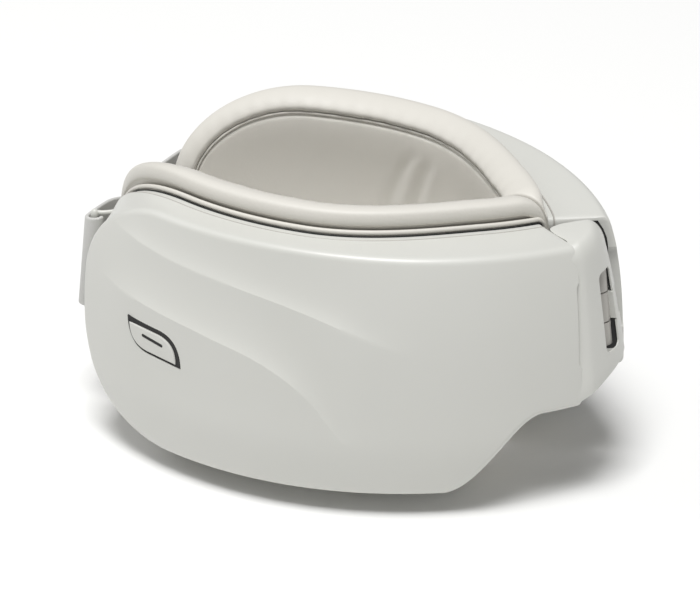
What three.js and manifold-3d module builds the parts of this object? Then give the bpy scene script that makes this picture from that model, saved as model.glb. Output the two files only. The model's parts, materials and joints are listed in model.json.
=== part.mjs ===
// Foldable eye massager mask, folded shut and standing on the lower edge of its cushions.
// Each half is laid out unrolled: "arc" runs along the wrap of the mask, measured on its front edge,
// "radius" is the distance from the upright axis that the half is wrapped round, and z is height.
// The far half lies at positive Y, and the near half is its mirror image across the fold plane.
import * as THREE from "three";
import { mergeVertices } from "three/addons/utils/BufferGeometryUtils.js";
import Module from "manifold-3d";

const wasm = await Module();
wasm.setup();

// Driving dimensions, in millimetres and degrees
const clearance = 0.3;
const wrapRadius = 70.3;
const foldedHalfDepth = 38.8;
const hingeEndX = 5.36;
const hingeEndY = 7.58;
const frontOuterArc = -41.5;
const partingOuterArc = -55;
const halfHeight = 51.8;
const hingeEndHeight = 35.3;
const endCorner = 1.5;
const topDrop = 1.8;
const topArchArc = -19;
const frontCorners = { upperArc: -19, upperHeight: 20, lowerArc: -16, lowerHeight: 25 };
const partingCorners = { upperArc: -20, upperHeight: 23, lowerArc: -22, lowerHeight: 25 };
const noseArchStart = 42;
const noseArchEnd = 61;

const coverDepth = 6.1;
const coverBulge = 5.6;
const coverWall = 1.6;
const coverEdgeRadius = 1.1;
const hingeEdgeShare = 0.4;
const bulgeFade = 13;
const lowerDrawIn = 2.2;
const lowerDrawStart = -38;

const frameThickness = 2.3;
const framePlate = 1.6;
const lipHeight = 1.5;
const lipThickness = 1.2;
const lipSetBack = 4.5;

const backDip = 3.9;
const dipStart = 12;
const dipEnd = 54;

const rollDepth = 6.8;
const rollOverhang = 5.2;
const rollEndRadius = 6;
const rollOuterArc = -52;
const rollThinning = 0.3;
const rollThinEnd = -8;
const rollCorners = { upperArc: -21, upperHeight: 17, lowerArc: -24, lowerHeight: 22 };
const seamOffset = 1.5;
const padHollow = 4;
const padSlope = 20;
const beadRadius = 0.5;
const foldGap = 0.4;
const standingCut = 0.5;

const windowStart = -30;
const windowEnd = 44;
const windowMiddle = -23;
const windowHalfHeight = 14;
const filmThickness = 0.3;
const trayInset = 5.5;
const trayWall = 1.2;
const trayDepth = 2.8;

const hingeAxisX = 6;
const hingeTilt = 7.1;
const barrelRadius = 1.8;
const pinRadius = 0.7;
const slotTop = -9.2;
const slotBottom = -26.4;
const slotFrom = -4.3;
const slotTo = 1.1;
const knuckleLength = 6.4;
const panelTop = -0.6;
const panelBottom = -34.6;
const panelFootRise = 4.8;
const panelWall = 1.2;
const slotReach = 3.9;
const leafThickness = 1.2;
const leafLength = 6;
const leafInset = 2.8;
const webThickness = 2.2;
const notchTop = -9.5;
const notchBottom = -26;
const notchDepth = 0.9;

const buttonArc = -17;
const buttonHeight = -25.9;
const buttonHalfLength = 7.4;
const buttonHalfHeight = 3.7;
const buttonThickness = 2;
const buttonRecess = 0.3;
const buttonTravel = 0.5;
const bezelWall = 0.7;

const webbingWidth = 21;
const webbingThickness = 0.9;
const webbingMiddle = -23.4;
const strapBarRadius = 0.8;
const strapBarOut = 1.8;
const strapBarBack = 5;
const strapBarLean = 7;
const strapRunY = 1.9;
const armArc = 4.5;

// Sizes that follow from them
const hingeAngle = Math.acos(1 - (foldedHalfDepth - hingeEndY) / wrapRadius);
const hingeArc = hingeAngle * wrapRadius;
const wrapCentreX = hingeEndX - wrapRadius * Math.sin(hingeAngle);
const wrapCentreY = foldedHalfDepth - wrapRadius;
const partingRadius = wrapRadius - coverDepth;
const frameFront = partingRadius - clearance;
const frameBack = frameFront - frameThickness;
const seatRadius = frameBack - clearance;
const leafRadius = wrapRadius - leafInset;
const beadRing = frameBack + 0.45;
const trayTop = frameBack + framePlate + clearance + trayDepth;
const degrees = Math.PI / 180;

const finishes = {
  pearl: { color: 0xd9d7d3, roughness: 0.38, metalness: 0 },
  inner: { color: 0xc6c3be, roughness: 0.55, metalness: 0 },
  leather: { color: 0xb7b2ab, roughness: 0.6, metalness: 0 },
  fabric: { color: 0xa39b92, roughness: 0.85, metalness: 0 },
  webbing: { color: 0xb5b1ab, roughness: 0.9, metalness: 0 },
  dark: { color: 0x1c1b1a, roughness: 0.5, metalness: 0 },
  steel: { color: 0xa9a8a6, roughness: 0.35, metalness: 0.9 },
  board: { color: 0x1f5a3a, roughness: 0.6, metalness: 0 },
  cell: { color: 0x8d9299, roughness: 0.4, metalness: 0.5 },
  rubber: { color: 0xd0cbc4, roughness: 0.7, metalness: 0 },
};

const mask = new THREE.Group();

function addPart(name, geometry, finish) {
  const mesh = new THREE.Mesh(geometry, new THREE.MeshStandardMaterial(finishes[finish]));
  mesh.name = name;
  mask.add(mesh);
}

// Towards the hinge, the back of a half runs closer to the fold plane than its wrap does
const backShift = (arc) => -backDip * smoothstep(dipStart, dipEnd, arc);
function dipped(radius) {
  return (arc, z) => backShift(arc) + (typeof radius === "function" ? radius(arc, z) : radius);
}

// Places: a point of the far half from its arc, height and radius
function at(arc, z, radius) {
  const angle = arc / wrapRadius;
  return new THREE.Vector3(wrapCentreX + radius * Math.sin(angle), wrapCentreY + radius * Math.cos(angle), z);
}

function smoothstep(low, high, value) {
  return THREE.MathUtils.smoothstep(value, low, high);
}

// Closed meshes: corners are merged, and the faces are turned outwards
function closedMesh(triangles) {
  const geometry = new THREE.BufferGeometry();
  const positions = triangles.flatMap((point) => [point.x, point.y, point.z]);
  geometry.setAttribute("position", new THREE.Float32BufferAttribute(positions, 3));
  return outward(mergeVertices(geometry, 1e-4));
}

function outward(geometry) {
  const place = geometry.attributes.position;
  const index = geometry.index.array;
  const [a, b, c] = [new THREE.Vector3(), new THREE.Vector3(), new THREE.Vector3()];
  let volume = 0;
  for (let i = 0; i < index.length; i += 3) {
    a.fromBufferAttribute(place, index[i]);
    b.fromBufferAttribute(place, index[i + 1]);
    c.fromBufferAttribute(place, index[i + 2]);
    volume += a.dot(b.cross(c));
  }
  return volume < 0 ? turnedInsideOut(geometry) : geometry;
}

function turnedInsideOut(geometry) {
  const index = geometry.index.array;
  for (let i = 0; i < index.length; i += 3) {
    [index[i + 1], index[i + 2]] = [index[i + 2], index[i + 1]];
  }
  return geometry;
}

function mirrored(geometry) {
  return outward(mergedPlain(geometry).applyMatrix4(new THREE.Matrix4().makeScale(1, -1, 1)));
}

function mergedPlain(geometry) {
  const plain = geometry.clone();
  plain.deleteAttribute("normal");
  plain.deleteAttribute("uv");
  return mergeVertices(plain, 1e-4);
}

function toSolid(geometry) {
  const merged = outward(mergedPlain(geometry));
  return new wasm.Manifold(new wasm.Mesh({
    numProp: 3,
    vertProperties: new Float32Array(merged.attributes.position.array),
    triVerts: new Uint32Array(merged.index.array),
  }));
}

function fromSolid(solid) {
  const mesh = solid.getMesh();
  const geometry = new THREE.BufferGeometry();
  geometry.setAttribute("position", new THREE.BufferAttribute(new Float32Array(mesh.vertProperties), 3));
  geometry.setIndex(new THREE.BufferAttribute(new Uint32Array(mesh.triVerts), 1));
  return geometry;
}

function common(first, second) {
  return fromSolid(toSolid(first).intersect(toSolid(second)));
}

function joined(...geometries) {
  return fromSolid(geometries.map(toSolid).reduce((whole, piece) => whole.add(piece)));
}

function cut(geometry, ...tools) {
  return fromSolid(tools.map(toSolid).reduce((whole, tool) => whole.subtract(tool), toSolid(geometry)));
}

function box(sizeX, sizeY, sizeZ, x, y, z) {
  return new THREE.BoxGeometry(sizeX, sizeY, sizeZ).translate(x, y, z);
}

// An outline in unrolled form, drawn in by inset: its upper and lower edge for each arc
function halfOutline(inset, options = {}) {
  const { start = partingOuterArc, corners = partingCorners, endShare = 1 } = options;
  const { endRadius = endCorner - inset } = options;
  const [from, to] = [start + inset, hingeArc - inset * endShare];
  const quarter = (share) => 1 - Math.sqrt(1 - Math.min(1, Math.max(0, share)) ** 2);
  const endRound = (arc) => (endRadius > 0 ? endRadius * quarter((arc - to + endRadius) / endRadius) : 0);
  const arch = (arc) => smoothstep(noseArchStart - 0.8 * inset, noseArchEnd - 0.8 * inset, arc);
  const upper = (arc) => {
    const corner = (corners.upperHeight - inset) * quarter((corners.upperArc - arc) / (corners.upperArc - from));
    const drop = topDrop * (Math.max(0, arc - topArchArc) / (hingeArc - topArchArc)) ** 2;
    return -inset - corner - drop - endRound(arc);
  };
  const lower = (arc) => {
    const corner = (corners.lowerHeight - inset) * quarter((corners.lowerArc - arc) / (corners.lowerArc - from));
    return inset - halfHeight + corner + (halfHeight - hingeEndHeight) * arch(arc) + endRound(arc);
  };
  return { start: from, end: to, upper, lower };
}

function frontOutline(inset, endShare = 1) {
  return halfOutline(inset, { start: frontOuterArc, corners: frontCorners, endShare });
}

function windowOutline(inset = 0) {
  const middle = (windowStart + windowEnd) / 2;
  const half = (windowEnd - windowStart) / 2 - inset;
  const reach = (arc) => {
    const share = Math.min(1, Math.abs(arc - middle) / half);
    return (windowHalfHeight - inset) * Math.sqrt(1 - 0.97 * share ** 4);
  };
  return {
    start: middle - half,
    end: middle + half,
    upper: (arc) => windowMiddle + reach(arc),
    lower: (arc) => windowMiddle - reach(arc),
  };
}

// Columns gather towards both ends of an outline, where it turns
function columnArcs(outline, columns) {
  return Array.from({ length: columns + 1 }, (_, i) => {
    const even = i / columns;
    const gathered = 0.5 - 0.5 * Math.cos(Math.PI * even);
    return THREE.MathUtils.lerp(outline.start, outline.end, 0.4 * even + 0.6 * gathered);
  });
}

const evenRows = (rows) => () => Array.from({ length: rows + 1 }, (_, j) => j / rows);

// A grid of unrolled points that fills an outline, column by column from its upper edge
function faceGrid(outline, columns, rowShares) {
  return columnArcs(outline, columns).map((arc) => rowShares(arc).map((share) => ({
    arc,
    z: THREE.MathUtils.lerp(outline.upper(arc), outline.lower(arc), share),
  })));
}

// The rim of a grid, clockwise from its first corner
function rimOf(grid) {
  const last = grid[0].length - 1;
  const upper = grid.map((column) => column[0]);
  const lower = grid.map((column) => column[last]).reverse();
  const end = grid[grid.length - 1].slice(1, last);
  const start = grid[0].slice(1, last).reverse();
  return [...upper, ...end, ...lower, ...start];
}

function placed(points, radiusAt) {
  const radius = typeof radiusAt === "function" ? radiusAt : () => radiusAt;
  return points.map((point) => (Array.isArray(point)
    ? placed(point, radiusAt)
    : at(point.arc, point.z, radius(point.arc, point.z))));
}

function gridTriangles(grid, reversed) {
  const triangles = [];
  for (let i = 0; i + 1 < grid.length; i += 1) {
    for (let j = 0; j + 1 < grid[0].length; j += 1) {
      const [a, b, c, d] = [grid[i][j], grid[i + 1][j], grid[i + 1][j + 1], grid[i][j + 1]];
      triangles.push(...(reversed ? [a, c, b, a, d, c] : [a, b, c, a, c, d]));
    }
  }
  return triangles;
}

function stripTriangles(first, second) {
  return first.flatMap((point, k) => {
    const next = (k + 1) % first.length;
    return [first[next], point, second[k], first[next], second[k], second[next]];
  });
}

// A solid from a front grid, the rims round its edge, and a back grid
function layeredSolid(front, rims, back) {
  const chain = [rimOf(front), ...rims, rimOf(back)];
  const strips = chain.slice(1).flatMap((rim, k) => stripTriangles(chain[k], rim));
  return closedMesh([...gridTriangles(front, false), ...strips, ...gridTriangles(back, true)]);
}

// A ring whose section is a closed chain of rims
function ringSolid(rims) {
  return closedMesh(rims.flatMap((rim, k) => stripTriangles(rim, rims[(k + 1) % rims.length])));
}

// A tube of any section through rings of points, closed by a fan at each end
function cappedSolid(rings) {
  const strips = rings.slice(1).flatMap((ring, k) => stripTriangles(rings[k], ring));
  const middle = (ring) => (
    ring.reduce((sum, point) => sum.add(point), new THREE.Vector3()).divideScalar(ring.length));
  const fan = (ring, reversed) => {
    const centre = middle(ring);
    return ring.flatMap((point, k) => {
      const next = ring[(k + 1) % ring.length];
      return reversed ? [centre, next, point] : [centre, point, next];
    });
  };
  return closedMesh([...fan(rings[0], false), ...strips, ...fan(rings[rings.length - 1], true)]);
}

// The sculpted front: two waves run down from the outer end, each a scoop that ends in a crease
function smoothLine(points) {
  const curve = new THREE.SplineCurve(points.map(([arc, z]) => new THREE.Vector2(arc, z)));
  const samples = curve.getPoints(80);
  return (arc) => {
    if (arc <= samples[0].x) return samples[0].y;
    const next = samples.findIndex((point) => point.x >= arc);
    if (next < 0) return samples[samples.length - 1].y;
    const [a, b] = [samples[next - 1], samples[next]];
    return THREE.MathUtils.lerp(a.y, b.y, (arc - a.x) / (b.x - a.x));
  };
}

const waves = [
  {
    crease: smoothLine([[-34, -5], [-17, -7.4], [2, -9.7], [18, -13.2], [36, -19.5], [69, -21]]),
    from: [-36, -22],
    to: [20, 38],
    step: 1.9,
    reach: 4,
  },
  {
    crease: smoothLine([[-34, -17], [-18, -18.5], [-4, -20.6], [8, -24.2], [16, -30], [24, -40], [69, -30]]),
    from: [-36, -20],
    to: [6, 22],
    step: 2.3,
    reach: 4.6,
  },
];

function waveDrop(wave, arc, z) {
  const strength = smoothstep(...wave.from, arc) * (1 - smoothstep(...wave.to, arc));
  const above = z - wave.crease(arc);
  return above <= 0 ? 0 : wave.step * strength * (1 - Math.exp(-above / wave.reach));
}

function frontDepth(arc, z) {
  const steps = waves.map((wave) => waveDrop(wave, arc, z)).reduce((sum, drop) => sum + drop);
  const stepsAtTop = waves.map((wave) => waveDrop(wave, arc, 0)).reduce((sum, drop) => sum + drop);
  const scoop = (coverBulge - stepsAtTop) * Math.exp(Math.min(0, z) / bulgeFade);
  const drawIn = lowerDrawIn * (Math.max(0, lowerDrawStart - z) / (halfHeight + lowerDrawStart)) ** 2;
  return coverDepth + coverBulge - steps - scoop - drawIn;
}

const frontRadius = (arc, z) => partingRadius + frontDepth(arc, z);

// Rows of the front follow both creases
function coverRows(outline) {
  return (arc) => {
    const [top, bottom] = [outline.upper(arc), outline.lower(arc)];
    const shares = waves.map((wave) => (top - wave.crease(arc)) / (top - bottom));
    const first = THREE.MathUtils.clamp(shares[0], 0.1, 0.4);
    const second = THREE.MathUtils.clamp(shares[1], first + 0.12, 0.8);
    const above = 0.035;
    const below = [0.25, 0.5, 0.78, 1].map((share) => THREE.MathUtils.lerp(second, 1, share));
    return [0, first * 0.4, first - above, first, (first + second) / 2, second - above, second, ...below];
  };
}

const coverColumns = 26;
const frameColumns = 20;
const frameRows = evenRows(8);

function frontCover() {
  const layer = (outline) => faceGrid(outline, coverColumns, coverRows(outline));
  const sunk = (depth) => (arc, z) => frontRadius(arc, z) - depth;
  const edge = coverEdgeRadius;
  const rims = [
    placed(rimOf(layer(frontOutline(edge * 0.3, hingeEdgeShare))), sunk(edge * 0.3)),
    placed(rimOf(layer(frontOutline(0))), sunk(edge)),
    placed(rimOf(layer(halfOutline(0))), dipped(partingRadius)),
    placed(rimOf(layer(halfOutline(coverWall))), dipped(partingRadius)),
  ];
  const front = placed(layer(frontOutline(edge, hingeEdgeShare)), frontRadius);
  const inside = placed(layer(frontOutline(coverWall)), sunk(coverWall));
  const arms = [strapArm(1, clearance), strapArm(-1, clearance)];
  return cut(layeredSolid(front, rims, inside), notchBlock(0), ...arms);
}

// A shallow recess in the front edge of the hinge end, level with the slot
function notchBlock(gap) {
  const corner = at(hingeArc, 0, wrapRadius);
  const height = notchTop - notchBottom - 2 * gap;
  return new THREE.BoxGeometry((notchDepth - gap) * 2, 12, height)
    .translate(0, 5 + gap, 0)
    .rotateZ(-hingeAngle)
    .translate(corner.x, corner.y, (notchTop + notchBottom) / 2);
}

// The rear frame: an edge strip, a lip inside the cover, a plate round the eye window, and strap ears
function rearFrame() {
  const grid = (outline) => faceGrid(outline, frameColumns, frameRows);
  const lipOutline = (inset) => halfOutline(inset, { start: partingOuterArc + lipSetBack });
  const lipOutside = lipOutline(coverWall + clearance);
  const lipInside = lipOutline(coverWall + clearance + lipThickness);
  const lipTop = frameFront + lipHeight;
  const body = layeredSolid(
    placed(grid(lipInside), dipped(frameBack + framePlate)),
    [
      placed(rimOf(grid(lipInside)), dipped(lipTop)),
      placed(rimOf(grid(lipOutside)), dipped(lipTop)),
      placed(rimOf(grid(lipOutside)), dipped(frameFront)),
      placed(rimOf(grid(halfOutline(0))), dipped(frameFront)),
    ],
    placed(grid(halfOutline(0)), dipped(frameBack)),
  );
  const ring = cut(body, windowSlab(0, frameBack - 4, frameFront + 4));
  return joined(ring, strapArm(1), strapArm(-1), strapBar());
}

// The strap's bar stands off the outer end, between two arms, and leans
const lean = Math.tan(strapBarLean * degrees);
const outerEnd = at(partingOuterArc, 0, partingRadius);
const strapBarX = outerEnd.x - strapBarOut;
const strapBarY = outerEnd.y + strapBarBack;
const armHeight = (side) => webbingMiddle + side * (webbingWidth / 2 + clearance + strapBarRadius);
const barPoint = (z) => new THREE.Vector3(strapBarX + lean * (z - webbingMiddle), strapBarY, z);

function rod(from, to, radius) {
  const along = to.clone().sub(from);
  const direction = along.clone().normalize();
  const turn = new THREE.Quaternion().setFromUnitVectors(new THREE.Vector3(0, 1, 0), direction);
  return new THREE.CylinderGeometry(radius, radius, along.length(), 10)
    .applyQuaternion(turn)
    .translate(...from.clone().add(to).divideScalar(2).toArray());
}

const strapBar = () => rod(barPoint(armHeight(-1)), barPoint(armHeight(1)), strapBarRadius);

function strapArm(side, gap = 0) {
  const z = armHeight(side);
  const tip = barPoint(z);
  const root = at(partingOuterArc + armArc, z, frameFront - 0.2);
  const elbow = new THREE.SphereGeometry(strapBarRadius + gap, 10, 6).translate(...tip.toArray());
  return joined(rod(root, tip, strapBarRadius + gap), elbow);
}

// The padded roll follows the half's edge and is cut flat where it stands. Its section is given
// outwards from that edge and up from its seat, as shares of its overhang and depth.
const rollSection = [
  [0.29, -1],
  [0.56, -0.85],
  [0.77, -0.66],
  [0.92, -0.46],
  [1, -0.25],
  [0.95, -0.07],
  [0.73, 0.03],
  [0.46, 0.02],
  [0.34, -0.05],
  [0.04, -0.06],
  [-0.42, 0],
];

function rollOutline(inset) {
  const endRadius = rollEndRadius - inset;
  return halfOutline(inset, { start: rollOuterArc, corners: rollCorners, endRadius });
}

function rollHeight(arc) {
  return rollDepth * (1 - rollThinning * (1 - smoothstep(rollOuterArc, rollThinEnd, arc)));
}

function cushionRoll() {
  const rims = rollSection.map(([out, up]) => placed(
    rimOf(faceGrid(rollOutline(-out * rollOverhang), frameColumns, frameRows)),
    dipped((arc) => seatRadius + up * rollHeight(arc)),
  ));
  const floor = -halfHeight - rollOverhang + standingCut;
  return cut(ringSolid(rims), seamBead(clearance), beyondFold(), box(300, 200, 20, 0, 50, floor - 10));
}

// What lies within a half-gap of the fold plane is cut away
const beyondFold = () => box(300, 40, 200, 0, foldGap - 20, 0);

// The piping bead lies in the corner between the roll and the frame
function seamBead(gap = 0) {
  const sides = 6;
  const thickness = beadRadius + gap;
  const rims = Array.from({ length: sides }, (_, k) => {
    const turn = (2 * Math.PI * k) / sides;
    const outline = halfOutline(-(beadRadius + clearance) - thickness * Math.cos(turn));
    const radius = beadRing + thickness * Math.sin(turn);
    return placed(rimOf(faceGrid(outline, frameColumns, frameRows)), dipped(radius));
  });
  return cut(ringSolid(rims), beyondFold());
}

// The eye pad starts at the roll's seam and falls back into a hollow over the eye
function eyePad() {
  const face = rollOutline(clearance - seamOffset);
  const seat = rollOutline(clearance - rollSection[rollSection.length - 1][0] * rollOverhang);
  const grid = (outline) => faceGrid(outline, frameColumns, frameRows);
  const faceRadius = (arc, z) => {
    const [top, bottom] = [face.upper(arc), face.lower(arc)];
    const upright = ((top - z) * (z - bottom)) / (top - bottom);
    const along = ((arc - face.start) * (face.end - arc)) / (face.end - face.start);
    const fromSeam = (upright * along) / Math.max(0.01, Math.hypot(upright, along));
    return seatRadius - rollHeight(arc) + padHollow * smoothstep(1, padSlope, fromSeam);
  };
  const pad = layeredSolid(placed(grid(seat), dipped(seatRadius)), [], placed(grid(face), dipped(faceRadius)));
  return cut(pad, beyondFold());
}

// Flat sheets and cells that fill the window, between two radii
function windowSlab(inset, innerRadius, outerRadius, bulge = 0) {
  const outline = windowOutline(inset);
  const grid = faceGrid(outline, 14, evenRows(4));
  const swell = (radius, amount) => (arc, z) => {
    const across = (arc - (windowStart + windowEnd) / 2) / (windowEnd - windowStart);
    const upright = (z - windowMiddle) / windowHalfHeight / 2;
    return radius + amount * Math.max(0, 1 - 4 * across * across) * Math.max(0, 1 - 4 * upright * upright);
  };
  return layeredSolid(placed(grid, dipped(swell(outerRadius, bulge))), [], placed(grid, dipped(innerRadius)));
}

// The inner tray stands on the frame plate and carries what is electric
function innerTray() {
  const grid = (inset) => faceGrid(halfOutline(inset, { start: partingOuterArc + 6 }), 16, evenRows(6));
  const foot = frameBack + framePlate + clearance;
  return layeredSolid(
    placed(grid(trayInset), trayTop),
    [placed(rimOf(grid(trayInset)), dipped(foot)), placed(rimOf(grid(trayInset + trayWall)), dipped(foot))],
    placed(grid(trayInset + trayWall), trayTop - trayWall),
  );
}

// A small part on the tray: local x runs back along the arc, y is up, z points out from the wrap
function seated(geometry, arc, z, radius = trayTop + clearance) {
  const angle = arc / wrapRadius;
  const base = at(arc, z, radius);
  const back = new THREE.Vector3(-Math.cos(angle), Math.sin(angle), 0);
  const out = new THREE.Vector3(Math.sin(angle), Math.cos(angle), 0);
  const matrix = new THREE.Matrix4().makeBasis(back, new THREE.Vector3(0, 0, 1), out).setPosition(base);
  return geometry.applyMatrix4(matrix);
}

function roundedBlock(length, height, depth, corner, bevel = 0) {
  const [x, y] = [length / 2 - bevel, height / 2 - bevel];
  const shape = new THREE.Shape();
  shape.moveTo(-x + corner, -y);
  shape.lineTo(x - corner, -y);
  shape.absarc(x - corner, -y + corner, corner, -Math.PI / 2, 0);
  shape.lineTo(x, y - corner);
  shape.absarc(x - corner, y - corner, corner, 0, Math.PI / 2);
  shape.lineTo(-x + corner, y);
  shape.absarc(-x + corner, y - corner, corner, Math.PI / 2, Math.PI);
  shape.lineTo(-x, -y + corner);
  shape.absarc(-x + corner, -y + corner, corner, Math.PI, 1.5 * Math.PI);
  return new THREE.ExtrudeGeometry(shape, {
    depth: depth - 2 * bevel,
    bevelEnabled: bevel > 0,
    bevelSize: bevel,
    bevelThickness: bevel,
    bevelSegments: 1,
    curveSegments: 3,
  }).translate(0, 0, bevel);
}

function disc(radius, depth, sides = 20) {
  return new THREE.CylinderGeometry(radius, radius, depth, sides).rotateX(Math.PI / 2).translate(0, 0, depth / 2);
}

function airPump() {
  const body = roundedBlock(20, 10, 5, 1.5, 0.5);
  const nozzle = new THREE.CylinderGeometry(1.1, 1.1, 5, 10).rotateZ(Math.PI / 2).translate(11.5, 0, 2.5);
  return joined(body, nozzle);
}

// The power button: a leaf with two sharp and two rounded corners
function leafShape(halfLength, halfHeight, shiftX = 0, shiftY = 0) {
  const shape = new THREE.Shape();
  const point = (x, y) => [shiftX + x * halfLength, shiftY + y * halfHeight];
  shape.moveTo(...point(-1, 1));
  shape.quadraticCurveTo(...point(-0.98, -0.78), ...point(-0.22, -0.88));
  shape.lineTo(...point(1, -1));
  shape.quadraticCurveTo(...point(0.98, 0.78), ...point(0.22, 0.88));
  return shape;
}

function leafBlock(inset, depth, fromSurface, bevel = 0) {
  const shape = leafShape(buttonHalfLength - inset - bevel, buttonHalfHeight - inset - bevel);
  const block = new THREE.ExtrudeGeometry(shape, {
    depth: depth - 2 * bevel,
    bevelEnabled: bevel > 0,
    bevelSize: bevel,
    bevelThickness: bevel,
    bevelSegments: 1,
    curveSegments: 6,
  }).translate(0, 0, bevel);
  const radius = frontRadius(buttonArc, buttonHeight) - fromSurface - depth;
  return seated(block.scale(-1, 1, 1), buttonArc, buttonHeight, radius);
}

const buttonSurface = frontRadius(buttonArc, buttonHeight);
const bezelInset = clearance;
const buttonInset = bezelInset + bezelWall + clearance;

const buttonHole = () => leafBlock(0, 8, -4);
const bezel = () => cut(leafBlock(bezelInset, coverWall + 0.6, 0.2), leafBlock(bezelInset + bezelWall, 8, -4));
const button = () => leafBlock(buttonInset, buttonThickness, buttonRecess, 0.4);

function buttonSwitch() {
  const top = buttonSurface - buttonRecess - buttonThickness - buttonTravel - clearance;
  const base = trayTop + 1.6 + 3 * clearance;
  return seated(joined(roundedBlock(8, 5, 1, 0.6), disc(1.6, top - base, 12)), buttonArc, buttonHeight, base);
}

// The webbing loops round the bar, runs down past the roll, and is tucked into the fold
function strapRoute() {
  const turnRadius = strapBarRadius + clearance + webbingThickness / 2;
  const loop = Array.from({ length: 11 }, (_, k) => {
    const angle = (-120 + 30 * k) * degrees;
    return [strapBarX + turnRadius * Math.cos(angle), strapBarY + turnRadius * Math.sin(angle), 1];
  });
  const [low, high] = [strapRunY, strapRunY + webbingThickness + 2 * clearance];
  const left = strapBarX - turnRadius;
  const down = [[-0.1, strapBarY - 5, 1], [0, strapBarY - 10, 0.9], [1.6, strapBarY - 14.2, 0.7]];
  const inwards = [[5.6, high, 0.5], [12, high, 0.3], [27, high, 0], [64, high, 0], [68, (low + high) / 2, 0]];
  const outwards = [[64, low, 0], [45, low, 0], [27, low, 0], [16, low, 0]];
  const tail = [...down, ...inwards, ...outwards].map(([x, y, share]) => [left + x, y, share]);
  return [...loop, ...tail];
}

function strap() {
  const points = strapRoute().map(([x, y, leanShare]) => new THREE.Vector3(x, y, leanShare));
  const curve = new THREE.CatmullRomCurve3(points, false, "centripetal");
  const steps = 64;
  const rings = Array.from({ length: steps + 1 }, (_, k) => {
    const place = curve.getPoint(k / steps);
    const along = curve.getTangent(k / steps);
    const side = new THREE.Vector3(-along.y, along.x, 0).normalize().multiplyScalar(webbingThickness / 2);
    const sag = 5 * (1 - THREE.MathUtils.clamp(place.z, 0, 1));
    const corner = (across, height) => new THREE.Vector3(
      place.x + side.x * across + lean * place.z * height * (webbingWidth / 2),
      place.y + side.y * across,
      webbingMiddle - sag + (height * webbingWidth) / 2,
    );
    return [corner(1, 1), corner(-1, 1), corner(-1, -1), corner(1, -1)];
  });
  return cappedSolid(rings);
}

// Hinge parts are drawn round their own axis, then tilted into place
const hingePlace = new THREE.Matrix4()
  .makeRotationY(-hingeTilt * degrees)
  .setPosition(hingeAxisX, 0, 0);
const inHinge = (geometry) => geometry.applyMatrix4(hingePlace);

// A block that fills the side of a half's end face where the half lies, left clear by gap
function behindEndFace(gap) {
  const corner = at(hingeArc, 0, wrapRadius);
  return box(60, 60, 120, gap - 30, 0, 0).rotateZ(-hingeAngle).translate(corner.x, corner.y, 0);
}

function bore(radius, top, bottom, sides = 16) {
  const rod = new THREE.CylinderGeometry(radius, radius, top - bottom, sides);
  return inHinge(rod.rotateX(Math.PI / 2).translate(0, 0, (top + bottom) / 2));
}

const slotMiddle = (slotTop + slotBottom) / 2;
const barrelTop = slotTop - clearance;
const barrelBottom = slotBottom + clearance;
const middleTop = slotMiddle + knuckleLength / 2;
const middleBottom = slotMiddle - knuckleLength / 2;
const endKnuckles = [[barrelTop, middleTop + clearance / 2], [middleBottom - clearance / 2, barrelBottom]];
const middleKnuckle = [[middleTop - clearance / 2, middleBottom + clearance / 2]];

// A leaf: a plate on the half's end face, and a web from it to each of its knuckles
function hingeLeaf(knuckles, ...extras) {
  const foot = at(hingeArc, 0, leafRadius);
  const plate = box(leafThickness, leafLength, barrelTop - barrelBottom, clearance + leafThickness / 2, 0, slotMiddle)
    .rotateZ(-hingeAngle)
    .translate(foot.x, foot.y, 0);
  const webs = knuckles.map(([top, bottom]) => inHinge(
    box(10, webThickness, top - bottom, 5, 0, (top + bottom) / 2).rotateZ(Math.PI - hingeAngle),
  ));
  const barrels = knuckles.map(([top, bottom]) => bore(barrelRadius, top, bottom));
  const solid = joined(plate, ...webs, ...barrels, ...extras);
  return cut(solid, bore(pinRadius + clearance, 0, -40, 12), behindEndFace(clearance));
}

const hingePin = () => bore(pinRadius, barrelTop + 0.15, barrelBottom - 0.15, 12);

// The bridge panel wraps round the barrel, from the near cover towards the far half.
// Its plan is drawn from the hinge axis, at its top and at its foot.
const panelAtTop = [[-0.4, -9.2], [1, -7.5], [1.8, -5], [2, -2.4], [1.6, -0.2], [0.8, 1.9], [-0.4, 3.9]];
const panelAtFoot = [[-0.3, -11.2], [1.4, -9.2], [2.4, -6.2], [3, -2.8], [3.2, 0.2], [3, 2.8], [2.4, 5]];

function planCurve(points) {
  return new THREE.SplineCurve(points.map(([x, y]) => new THREE.Vector2(x, y)));
}

const topCurve = planCurve(panelAtTop);
const footCurve = planCurve(panelAtFoot);

function panelPoint(share, z, offset) {
  const down = (panelTop - z) / (panelTop - panelBottom);
  const blend = 1 - (1 - down) ** 2;
  const place = topCurve.getPoint(share).lerp(footCurve.getPoint(share), blend);
  const along = topCurve.getTangent(share).lerp(footCurve.getTangent(share), blend).normalize();
  return new THREE.Vector3(place.x - along.y * offset, place.y + along.x * offset, z);
}

function panelWallSolid(fromShare, toShare, levels, columns) {
  const share = (i) => THREE.MathUtils.lerp(fromShare, toShare, i / columns);
  const shares = Array.from({ length: columns + 1 }, (_, i) => share(i));
  const wall = (deeper) => shares.map((at) => levels.map(([z, offset]) => (
    panelPoint(at, typeof z === "function" ? z(at) : z, deeper(offset)))));
  const outside = wall((offset) => offset);
  const inside = wall((offset) => Math.max(panelWall, offset + 0.8));
  return inHinge(layeredSolid(outside, [], inside));
}

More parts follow.
